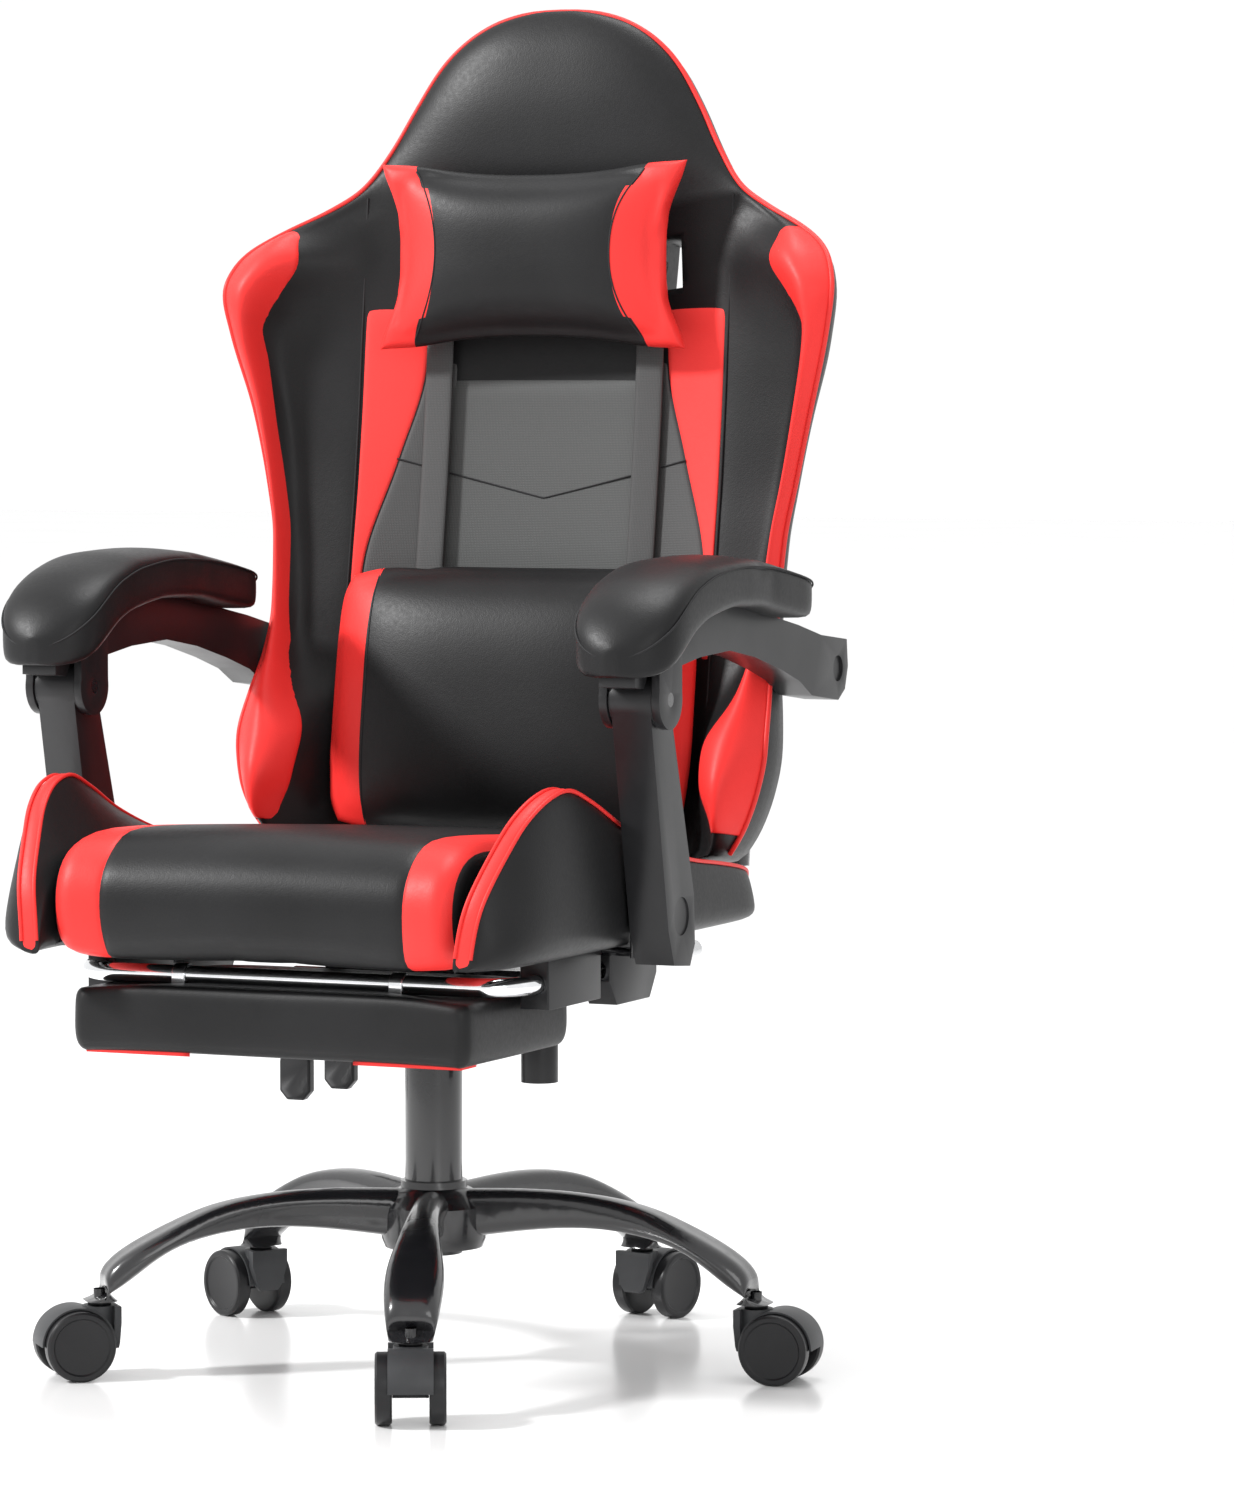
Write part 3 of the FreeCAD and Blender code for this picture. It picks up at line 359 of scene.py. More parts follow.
def inflate(piece, pressure, cap, frames=20, stiffness=18):
    """Swell a closed mesh with cloth under pressure and keep the result. No point moves by more than cap."""
    scene = bpy.context.scene
    before = np.array([vertex.co[:] for vertex in piece.data.vertices])
    cloth = piece.modifiers.new("Cloth", "CLOTH")
    settings = cloth.settings
    settings.quality = 5
    settings.use_pressure = True
    settings.uniform_pressure_force = pressure
    settings.tension_stiffness = stiffness
    settings.compression_stiffness = stiffness
    settings.shear_stiffness = stiffness * 0.4
    settings.bending_stiffness = 1.2
    settings.effector_weights.gravity = 0
    cloth.collision_settings.use_collision = False
    for index in range(1, frames + 1):
        scene.frame_set(index)
    evaluated = piece.evaluated_get(bpy.context.evaluated_depsgraph_get())
    after = np.array([vertex.co[:] for vertex in evaluated.data.vertices])
    piece.modifiers.remove(cloth)
    scene.frame_set(1)
    moved = after - before
    distance = np.linalg.norm(moved, axis=1, keepdims=True)
    moved *= np.minimum(1, cap / np.maximum(distance, 1e-9))
    piece.data.vertices.foreach_set("co", (before + moved).ravel())
    piece.data.update()


def finish_soft(piece, body, nodes=()):
    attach(piece, body)
    if nodes:
        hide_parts(*nodes)
    return piece


def trim(piece, body):
    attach(piece, body)
    return piece


# ---------------------------------------------------------------- backrest

# Up the back: half width, then the distance forward of the outer edge, the ridge and the red seam,
# the half width at the red seam, and the distance forward of the inner seam.
BACK_EDGE = smooth_table([
    (0.020, 0.214, 0.030, 0.050, 0.030, 0.200, 0.004), (0.050, 0.238, 0.045, 0.078, 0.052, 0.210, 0.004),
    (0.085, 0.252, 0.052, 0.084, 0.058, 0.199, 0.005), (0.120, 0.257, 0.052, 0.074, 0.050, 0.196, 0.005),
    (0.165, 0.253, 0.040, 0.056, 0.026, 0.212, 0.005), (0.200, 0.248, 0.028, 0.042, 0.014, 0.222, 0.005),
    (0.240, 0.247, 0.018, 0.032, 0.010, 0.228, 0.005), (0.310, 0.250, 0.018, 0.030, 0.008, 0.235, 0.004),
    (0.350, 0.257, 0.020, 0.031, 0.008, 0.241, 0.003), (0.420, 0.272, 0.030, 0.040, 0.014, 0.251, 0.004),
    (0.490, 0.291, 0.050, 0.060, 0.028, 0.260, 0.007), (0.525, 0.297, 0.058, 0.068, 0.040, 0.247, 0.008),
    (0.555, 0.288, 0.048, 0.060, 0.046, 0.230, 0.010), (0.580, 0.262, 0.030, 0.040, 0.034, 0.236, 0.011),
    (0.602, 0.222, 0.018, 0.022, 0.018, 0.206, 0.012), (0.625, 0.187, 0.012, 0.014, 0.013, 0.175, 0.012),
    (0.660, 0.162, 0.007, 0.012, 0.011, 0.150, 0.010), (0.700, 0.140, 0.005, 0.014, 0.013, 0.128, 0.014),
    (0.740, 0.114, 0.006, 0.014, 0.013, 0.103, 0.016), (0.765, 0.086, 0.007, 0.012, 0.011, 0.076, 0.014),
    (0.780, 0.055, 0.008, 0.010, 0.010, 0.048, 0.011), (0.7875, 0.020, 0.008, 0.009, 0.009, 0.016, 0.009),
])
# Up the back: how far forward the middle is, how far back the side edge and the middle of the rear are.
BACK_MIDDLE = smooth_table([
    (0.020, -0.018, -0.020, -0.046), (0.080, -0.019, -0.010, -0.058), (0.200, -0.020, -0.014, -0.062),
    (0.300, -0.019, -0.010, -0.064), (0.400, -0.0175, 0.004, -0.066), (0.460, -0.0145, 0.012, -0.066),
    (0.530, -0.009, 0.030, -0.066), (0.600, 0.006, -0.006, -0.062), (0.650, 0.020, -0.016, -0.056),
    (0.710, 0.026, -0.020, -0.048), (0.750, 0.024, -0.018, -0.040), (0.775, 0.018, -0.014, -0.030),
    (0.7875, 0.012, -0.008, -0.018),
])
SEAM_X = 0.180
BACK_TOP = 0.7875
BACK_LOW = 0.020


def back_place(x, u, w):
    """A point of the backrest's own frame, in the chair's."""
    sine = math.sin(LEAN)
    cosine = math.cos(LEAN)
    return (x, HINGE_Y + u * sine - w * cosine, HINGE_Z + u * cosine + w * sine)


def back_front(x, u):
    """How far forward the upholstery stands: a shallow hollow between wings, a dome at the head."""
    half, edge, ridge, red, red_half, seam = BACK_EDGE(u)
    middle = float(BACK_MIDDLE(u)[0])
    across = abs(x)
    dome = edge + (middle - edge) * max(0.0, 1 - (across / half) ** 3.2) ** 0.62
    if u > 0.66:
        return dome
    inner = min(SEAM_X, red_half - 0.012)
    ridge_half = 0.5 * (red_half + half)
    places = [(inner, seam), (red_half, red), (ridge_half, ridge), (half, edge)]
    if across < inner:
        hollow = middle + (seam - middle) * (across / inner) ** 2.2
    else:
        hollow = float(smooth_table(places)(across)[0])
    part = min(max((u - 0.575) / 0.085, 0.0), 1.0)
    part = part * part * (3 - 2 * part)
    return hollow + (dome - hollow) * part


def front_point(x, u, lift=0.0):
    return back_place(x, u, back_front(x, u) + lift)


def back_shell():
    """The upholstered body of the backrest, in black."""
    rows = list(np.linspace(BACK_LOW, 0.60, 42)) + list(np.linspace(0.61, 0.765, 16))
    rows += [0.772, 0.778, 0.783, BACK_TOP]
    rings = []
    for u in rows:
        half = BACK_EDGE(u)[0]
        rear_edge, rear_middle = BACK_MIDDLE(u)[1:]
        across = np.sin(np.linspace(-math.pi / 2, math.pi / 2, 41)) * 0.55 + np.linspace(-1, 1, 41) * 0.45
        ring = [front_point(half * part, u) for part in across]
        behind = np.linspace(1, -1, 21)
        for part in behind:
            round_off = (1 - abs(part) ** 5) ** 0.6
            w = rear_edge + (rear_middle - rear_edge) * round_off
            reach = half * 0.99 if abs(part) == 1 else half * (0.985 * part)
            ring.append(back_place(reach if abs(part) < 1 else math.copysign(reach, part), u, w))
        rings.append(ring)
    shell = loft("back_upholstery", rings, [BLACK], None, 1)
    return shell


def cut_slots(shell):
    """Open the two strap slots right through."""
    for side, name in SIDES:
        vertices = []
        for w in (-0.12, 0.08):
            for x, u in ((0.096, 0.532), (0.131, 0.536), (0.129, 0.583), (0.099, 0.583)):
                vertices.append(back_place(side * x, u, w))
        faces = [(0, 1, 2, 3), (7, 6, 5, 4), (0, 4, 5, 1), (1, 5, 6, 2), (2, 6, 7, 3), (3, 7, 4, 0)]
        cutter = mesh_piece("cutter_" + name, vertices, faces, [BLACK])
        modifier = shell.modifiers.new("Slot_" + name, "BOOLEAN")
        modifier.operation = "DIFFERENCE"
        modifier.solver = "EXACT"
        modifier.object = cutter
        bpy.context.view_layer.update()
        evaluated = shell.evaluated_get(bpy.context.evaluated_depsgraph_get())
        mesh = bpy.data.meshes.new_from_object(evaluated)
        shell.modifiers.clear()
        shell.data = mesh
        bpy.data.objects.remove(cutter)
    return shell


def back_patch(name, left, right, rows, material, lift=0.0012, puff=0.0, columns=14):
    """A panel laid on the backrest between two edges, each a function of u, with its edges tucked in."""
    front = []
    back = []
    for row, u in enumerate(rows):
        along = min(row, len(rows) - 1 - row)
        end_tuck = 0.0 if along else 1.0
        front_row = []
        back_row = []
        for column in range(columns + 1):
            part = column / columns
            part = 0.5 - 0.5 * math.cos(math.pi * part)
            x = left(u) + (right(u) - left(u)) * part
            side_tuck = 1.0 if column in (0, columns) else 0.0
            crown = (1 - abs(2 * part - 1) ** 3) * puff
            tuck = max(end_tuck, side_tuck)
            front_row.append(front_point(x, u, (lift + crown) * (1 - tuck) - 0.0004 * tuck))
            back_row.append(front_point(x, u, -0.003))
        front.append(front_row)
        back.append(back_row)
    return slab(name, front, back, material, 1)


def back_strap(name, side, rows):
    """A flat webbing strap that runs up the back just clear of it."""
    front = []
    back = []
    for row, u in enumerate(rows):
        end = 1.0 if row in (0, len(rows) - 1) else 0.0
        stand = 0.0095 * (1 - end)
        front_row = []
        back_row = []
        for part in np.linspace(0, 1, 7):
            x = side * (STRAP_INNER + (STRAP_OUTER - STRAP_INNER) * part)
            level = 0.5 * (back_front(STRAP_INNER, u) + back_front(STRAP_OUTER, u))
            rounded = 0.0004 * (1 - abs(2 * part - 1) ** 4)
            front_row.append(back_place(x, u, level + stand + rounded))
            back_row.append(back_place(x, u, level + stand - 0.0022 - rounded))
        front.append(front_row)
        back.append(back_row)
    return slab(name, front, back, DARK_WEAVE, 1)


# Up the back: the half width at which the red triangle begins.
TRIANGLE = smooth_table([
    (0.190, 0.171), (0.281, 0.168), (0.381, 0.1412), (0.461, 0.1190), (0.500, 0.1160), (0.530, 0.1150),
])

# The stitched V of the centre panel: the height of its tip and how fast it climbs outwards.
CHEVRON_LOW = 0.348
CHEVRON_SLOPE = 0.235
STRAP_INNER = 0.090
STRAP_OUTER = 0.117


def backrest():
    shell = cut_slots(back_shell())
    finish_soft(shell, "backrest",
                ("back_cushion", "back_cover", "back_wing_left", "back_wing_right"))

    for side, name in SIDES:
        def outer(u, side=side):
            return side * (float(BACK_EDGE(u)[0]) - 0.001)

        def inner(u, side=side):
            half, red_half = BACK_EDGE(u)[[0, 4]]
            return side * min(float(red_half), float(half) - 0.002)

        rows = list(np.linspace(0.045, 0.585, 60))
        strip = back_patch("wing_red_" + name, inner, outer, rows, RED, 0.0012, 0.003, 12)
        finish_soft(strip, "backrest", ())

        def tri_inner(u, side=side):
            return side * float(TRIANGLE(u)[0])

        def tri_outer(u, side=side):
            return side * (SEAM_X - 0.0025)

        rows = list(np.linspace(0.20, 0.521, 28))
        triangle = back_patch("back_triangle_" + name, tri_inner, tri_outer, rows,
                              RED_WEAVE, 0.0012, 0.0008, 8)
        trim(triangle, "backrest")

        def strap_inner(u, side=side):
            return side * STRAP_INNER

        strap = back_strap("back_strap_" + name, side, list(np.linspace(0.19, 0.56, 30)))
        trim(strap, "backrest")

        rows = list(np.linspace(0.205, 0.474, 24))
        side_panel = back_patch("back_side_" + name, strap_inner, tri_inner, rows,
                                DARK_WEAVE, 0.0010, 0.0006, 8)
        trim(side_panel, "backrest")
        short_seam = [
            front_point(side * x, CHEVRON_LOW + x * CHEVRON_SLOPE, 0.0020)
            for x in np.linspace(STRAP_OUTER, 0.142, 10)
        ]
        trim(cord_line("side_seam_" + name, short_seam, 0.0008, THREAD), "backrest")

        seam = [front_point(side * SEAM_X, u, 0.0004) for u in np.linspace(0.05, 0.618, 40)]
        trim(cord_line("wing_seam_" + name, seam, 0.0010, THREAD), "backrest")

    rows = list(np.linspace(0.205, 0.458, 24))
    centre = back_patch("back_centre", lambda u: -0.096, lambda u: 0.096, rows, GREY, 0.0012, 0.0012, 18)
    trim(centre, "backrest")
    chevron = [
        front_point(x, CHEVRON_LOW + abs(x) * CHEVRON_SLOPE, 0.0026) for x in np.linspace(-0.092, 0.092, 41)
    ]
    trim(cord_line("back_chevron", chevron, 0.0008, THREAD), "backrest")

    edge = []
    for side in (-1, 1):
        heights = list(np.linspace(0.03, 0.60, 50)) + list(np.linspace(0.61, 0.765, 22))
        heights += [0.774, 0.781, 0.7865]
        run = [back_place(side * float(BACK_EDGE(u)[0]), u, float(BACK_EDGE(u)[1])) for u in heights]
        edge += run if side < 0 else run[::-1]
    trim(cord_line("back_piping", edge, 0.0024, PIPING), "backrest")


def pillow(half_width, half_height, depth, blunt, rows=29, columns=41):
    """Front and back sheets of one grid, as (x, height, bulge, s, t), for a pillow whose half width
    and half height vary along its sides and whose corners are blunt."""
    sheets = []
    for face in (1, -1):
        sheet = []
        for row in range(rows):
            even = 2 * row / (rows - 1) - 1
            t = 0.6 * math.sin(even * math.pi / 2) + 0.4 * even
            line = []
            for column in range(columns):
                even = 2 * column / (columns - 1) - 1
                s = 0.6 * math.sin(even * math.pi / 2) + 0.4 * even
                corner = rounded_rim(s, t, blunt)
                x = half_width(t) * s * corner
                z = half_height(s) * t * corner
                swell = (max(0.0, 1 - abs(s) ** 3.4) ** 0.5) * (max(0.0, 1 - abs(t) ** 3.0) ** 0.5)
                line.append((x, z, face * depth * swell, s, t))
            sheet.append(line)
        sheets.append(sheet)
    return sheets


def pillow_mesh(name, sheets, place, materials, slot_of):
    """Join a pillow's two sheets along their shared rim."""
    rows = len(sheets[0])
    columns = len(sheets[0][0])
    vertices = []
    numbers = []
    for face, sheet in enumerate(sheets):
        grid = []
        for row in range(rows):
            line = []
            for column in range(columns):
                on_rim = row in (0, rows - 1) or column in (0, columns - 1)
                if face and on_rim:
                    line.append(numbers[0][row][column])
                    continue
                x, z, y = sheet[row][column][:3]
                vertices.append(place(x, z, y))
                line.append(len(vertices) - 1)
            grid.append(line)
        numbers.append(grid)
    faces = []
    slots = []
    for face, grid in enumerate(numbers):
        for row in range(rows - 1):
            for column in range(columns - 1):
                low, high = grid[row], grid[row + 1]
                quad = (low[column], low[column + 1], high[column + 1], high[column])
                faces.append(quad if face == 0 else quad[::-1])
                s = 0.25 * sum(sheets[face][r][c][3] for r in (row, row + 1) for c in (column, column + 1))
                t = 0.25 * sum(sheets[face][r][c][4] for r in (row, row + 1) for c in (column, column + 1))
                slots.append(slot_of(s, t))
    return mesh_piece(name, vertices, faces, materials, slots, 0)


def seam_on(piece, points, radius, name, material, body, direction=(0, 1, 0)):
    """A seam bead dropped onto a piece's surface along one direction."""
    bpy.context.view_layer.update()
    tree = BVHTree.FromObject(piece, bpy.context.evaluated_depsgraph_get())
    way = Vector(direction).normalized()
    landed = []
    for point in points:
        hit = tree.ray_cast(Vector(point) - way * 0.4, way)[0]
        if hit is not None:
            landed.append(hit)
    if len(landed) > 3:
        trim(cord_line(name, landed, radius, material), body)


HEAD_PILLOW_MIDDLE = (0.0, 0.559, 0.040)
LUMBAR_MIDDLE = (0.0, 0.160, 0.026)


def rounded_rim(value, other, amount):
    """Pull a corner of a pillow in, so that it's blunt rather than pointed."""
    near = max(0.0, abs(value) - 0.78) / 0.22
    along = max(0.0, abs(other) - 0.78) / 0.22
    return 1 - amount * (near * along) ** 1.2


def head_pillow():
    def half_width(t):
        return 0.127 + 0.031 * abs(t) ** 2.2

    def half_height(s):
        return 0.067 + 0.022 * abs(s) ** 2.4

    sheets = pillow(half_width, half_height, 0.036, 0.05)

    def place(x, z, y):
        return back_place(x, HEAD_PILLOW_MIDDLE[1] + z, HEAD_PILLOW_MIDDLE[2] + y + z * 0.10)

    def slot_of(s, t):
        return 1 if abs(s) > 0.72 - 0.05 * (1 - abs(t) ** 2) else 0

    piece = pillow_mesh("head_pillow_skin", sheets, place, [BLACK, RED], slot_of)
    inflate(piece, 4.0, 0.007)
    subdivide(piece, 1)
    finish_soft(piece, "backrest", ("head_pillow",))
    rims = []
    for side in (1, -1):
        for t in np.linspace(-0.97, 0.97, 24):
            s = side * (0.72 - 0.05 * (1 - abs(t) ** 2))
            rims.append((side, place(half_width(t) * s, half_height(s) * t, 0.0)))
    direction = back_place(0, 0, -1)
    way = (0, direction[1] - HINGE_Y, direction[2] - HINGE_Z)
    for side, name in SIDES:
        line = [point for which, point in rims if which == side]
        seam_on(piece, line, 0.0008, "head_pillow_seam_" + name, THREAD, "backrest", way)


def lumbar_pillow():
    def half_width(t):
        return 0.178 - 0.004 * (1 - abs(t) ** 2.5)

    def half_height(s):
        return 0.119 - 0.002 * (1 - abs(s) ** 2.5)

    sheets = pillow(half_width, half_height, 0.046, 0.05)

    def place(x, z, y):
        return back_place(x, LUMBAR_MIDDLE[1] + z, LUMBAR_MIDDLE[2] + y)

    def slot_of(s, t):
        return 1 if abs(s) > 0.755 else 0

    piece = pillow_mesh("lumbar_pillow_skin", sheets, place, [BLACK, RED], slot_of)
    inflate(piece, 4.0, 0.006)
    subdivide(piece, 1)
    finish_soft(piece, "backrest", ("lumbar_pillow",))
    direction = back_place(0, 0, -1)
    way = (0, direction[1] - HINGE_Y, direction[2] - HINGE_Z)
    for side, name in SIDES:
        line = [place(side * 0.755 * half_width(t), 0.119 * t, 0.0) for t in np.linspace(-0.98, 0.98, 30)]
        seam_on(piece, line, 0.0008, "lumbar_seam_" + name, THREAD, "backrest", way)


# ---------------------------------------------------------------- seat

SEAT_RED_FROM = 0.139
SEAT_SIDE_FROM = 0.1865
SEAT_HALF = 0.190


def seat_profile(x):
    """The seat's side outline at x, from the rear bottom round the front to the rear top, as (y, z)."""
    crown = 0.004 * (1 - (x / SEAT_HALF) ** 2)
    low = 0.378
    outline = [
        (0.126, low + 0.012), (0.02, low + 0.010), (-0.10, low + 0.010), (-0.22, low + 0.008),
        (-0.30, low + 0.003), (-0.333, low + 0.001), (-0.347, low + 0.008), (-0.354, low + 0.024),
        (-0.357, low + 0.045),
        (-0.354, low + 0.064), (-0.344, low + 0.080), (-0.326, low + 0.0915), (-0.30, low + 0.0965 + crown),
        (-0.25, low + 0.0965 + crown), (-0.18, low + 0.092 + crown), (-0.10, low + 0.087 + crown),
        (-0.02, low + 0.081 + crown), (0.06, low + 0.076 + crown), (0.11, low + 0.073), (0.128, low + 0.064),
    ]
    return outline


def seat_cushion():
    columns = sorted(set(
        list(np.linspace(-0.137, 0.137, 23)) + [-0.1405, 0.1405, -0.139, 0.139]
        + list(np.linspace(0.145, 0.1865, 7)) + list(np.linspace(-0.1865, -0.145, 7))
        + [0.1885, -0.1885, SEAT_HALF, -SEAT_HALF]
    ))
    rings = []
    for x in columns:
        ring = []
        sink = 0.0022 if abs(abs(x) - SEAT_RED_FROM) < 1e-6 else 0.0
        past = max(0.0, abs(x) - 0.170) / 0.020
        side = 0.018 * past ** 2.4
        profile = seat_profile(x)
        middle = np.mean(profile, axis=0)
        for y, z in profile:
            toward = np.array([middle[0] - y, middle[1] - z])
            toward = toward / max(np.linalg.norm(toward), 1e-6) * (sink + side)
            ring.append((x, y + toward[0], z + toward[1]))
        rings.append(ring)
    cushion = loft("seat_cushion_skin", rings, [BLACK, RED], None, 0)
    for polygon in cushion.data.polygons:
        across = abs(polygon.center.x)
        if SEAT_RED_FROM < across < SEAT_SIDE_FROM:
            polygon.material_index = 1
    inflate_top(cushion)
    subdivide(cushion, 1)
    finish_soft(cushion, "seat", ("seat_cushion",))


def inflate_top(cushion):
    """A light cloth pass that softens the cushion's top and front."""
    inflate(cushion, 2.5, 0.005, 12, 25)


# Along the bolster, front to back: y, height of the crest, x of the crest, height inside, widest x.
BOLSTER = smooth_table([
    (-0.362, 0.388, 0.197, 0.384, 0.203), (-0.360, 0.408, 0.199, 0.394, 0.211),
    (-0.356, 0.431, 0.203, 0.408, 0.220), (-0.345, 0.452, 0.208, 0.426, 0.231),
    (-0.333, 0.468, 0.212, 0.436, 0.238), (-0.306, 0.500, 0.221, 0.450, 0.245),
    (-0.270, 0.519, 0.228, 0.459, 0.248), (-0.245, 0.523, 0.230, 0.461, 0.2485),
    (-0.207, 0.512, 0.233, 0.461, 0.2485), (-0.150, 0.488, 0.236, 0.459, 0.2485),
    (-0.080, 0.466, 0.237, 0.455, 0.2485), (-0.006, 0.449, 0.237, 0.447, 0.2485),
    (0.065, 0.4405, 0.235, 0.437, 0.248), (0.120, 0.433, 0.232, 0.430, 0.247),
    (0.150, 0.426, 0.226, 0.424, 0.242), (0.162, 0.412, 0.217, 0.410, 0.230),
    (0.166, 0.396, 0.210, 0.394, 0.219),
])
BOLSTER_FOOT = 0.381


def bolster_ring(side, y):
    """One section of a bolster: up its inside, over the flat crest and down its outside."""
    crest_z, crest_x, inner_z, wide = (float(value) for value in BOLSTER(y))
    foot = min(BOLSTER_FOOT, crest_z - 0.002)
    inner_x = 0.1885
    rise = max(0.0, crest_z - inner_z)
    ring = [(inner_x, foot), (inner_x, 0.5 * (foot + inner_z)), (inner_x, inner_z)]
    for part in (0.2, 0.4, 0.6, 0.8, 0.93):
        x = inner_x + (crest_x - 0.007 - inner_x) * part
        ring.append((x, inner_z + rise * part ** 1.15 - 0.002 * part))
    ring += [(crest_x - 0.007, crest_z - 0.0022), (crest_x, crest_z), (crest_x + 0.007, crest_z - 0.0030)]
    outer_x = crest_x + 0.007
    for part in (0.08, 0.2, 0.38, 0.58, 0.78, 0.92):
        x = outer_x + (wide - outer_x) * math.sin(part * math.pi / 2) ** 0.8
        z = crest_z - 0.003 + (foot - crest_z + 0.003) * part
        if part > 0.75:
            x -= 0.010 * ((part - 0.75) / 0.25) ** 2
        ring.append((x, z))
    ring += [(wide - 0.018, foot), (0.5 * (inner_x + wide), foot - 0.001)]
    return [(side * x, y, z) for x, z in ring]


def seat_bolster(side, name):
    stations = [-0.362, -0.3615, -0.360, -0.3575, -0.353, -0.345, -0.336]
    stations += list(np.linspace(-0.325, 0.145, 34)) + [0.155, 0.161, 0.165, 0.166]
    rings = [bolster_ring(side, y) for y in stations]
    count = len(rings[0])
    inner_edge = 8
    outer_edge = 10
    columns = [1 if inner_edge <= column < outer_edge else 0 for column in range(count)]
    bolster = loft("seat_bolster_skin_" + name, rings, [BLACK, RED], columns, 1)
    finish_soft(bolster, "seat", ("seat_bolster_" + name,))
    for edge, label in ((inner_edge, "inner"), (outer_edge, "outer")):
        line = [(ring[edge][0], ring[edge][1], ring[edge][2] + 0.0004) for ring in rings[1:-1]]
        piping = cord_line(f"bolster_piping_{label}_{name}", line, 0.0017, PIPING)
        trim(piping, "seat")


# ---------------------------------------------------------------- armrests

# Along the pad, front to back: y, height of the underside, of the side seam and of the crown.
ARM_PAD = smooth_table([
    (-0.228, 0.612, 0.625, 0.634), (-0.222, 0.610, 0.632, 0.647), (-0.205, 0.613, 0.648, 0.669),
    (-0.180, 0.628, 0.667, 0.686), (-0.150, 0.646, 0.682, 0.697), (-0.110, 0.658, 0.692, 0.705),
    (-0.050, 0.665, 0.697, 0.7055), (0.000, 0.664, 0.695, 0.700), (0.050, 0.656, 0.689, 0.694),
    (0.090, 0.650, 0.682, 0.687), (0.115, 0.648, 0.674, 0.680), (0.128, 0.649, 0.668, 0.672),
    (0.132, 0.652, 0.663, 0.666),
])
ARM_PAD_FRONT = -0.228
ARM_PAD_REAR = 0.132
ARM_PAD_HALF = 0.047
ARM_X = 0.268


def arm_pad_half(y):
    """Half the armrest pad's width at y: straight sides with half-round ends."""
    from_end = min(y - ARM_PAD_FRONT, ARM_PAD_REAR - y)
    if from_end >= ARM_PAD_HALF:
        return ARM_PAD_HALF
    short = 1 - max(from_end, 0.0) / ARM_PAD_HALF
    return ARM_PAD_HALF * max(1 - short ** 2.3, 0.0) ** 0.5


def arm_pad_ring(side, y):
    """One section of an armrest pad: a flat underside, upright sides and a crowned top."""
    low, seam, crown = (float(value) for value in ARM_PAD(y))
    half = max(arm_pad_half(y), 0.006)
    middle = 0.5 * (low + seam)
    upper = []
    for part in np.linspace(0, 1, 8):
        x = half * math.cos(part * math.pi / 2)
        z = seam + (crown - seam) * math.sin(part * math.pi / 2) ** 0.9
        upper.append((x, z))
    lower = [(half, middle), (half * 0.985, low + 0.006), (half * 0.92, low), (half * 0.5, low), (0.0, low)]
    right = lower[::-1] + upper
    left = [(-x, z) for x, z in right[1:-1]][::-1]
    return [(side * ARM_X + x, y, z) for x, z in right + left]


def arm_pad(side, name):
    ends = np.array([0.0, 0.0008, 0.003, 0.007, 0.013, 0.022, 0.033])
    stations = list(ARM_PAD_FRONT + ends) + list(np.linspace(-0.180, 0.085, 26))
    stations += list(ARM_PAD_REAR - ends[::-1])
    rings = [arm_pad_ring(side, y) for y in stations]
    pad = loft("arm_pad_skin_" + name, rings, [BLACK], None, 0)
    inflate(pad, 2.0, 0.003, 12, 25)
    subdivide(pad, 1)
    finish_soft(pad, "armrest_" + name, ("arm_pad_" + name,))
    loop = []
    for way in (1, -1):
        span = np.linspace(ARM_PAD_FRONT + 0.0005, ARM_PAD_REAR - 0.0005, 70)
        for y in span[::way]:
            seam = float(ARM_PAD(y)[1])
            loop.append((side * ARM_X + way * arm_pad_half(y) * 1.002, y, seam))
    trim(cord_line("arm_seam_" + name, loop, 0.0009, THREAD, True), "armrest_" + name)


# ---------------------------------------------------------------- footrest

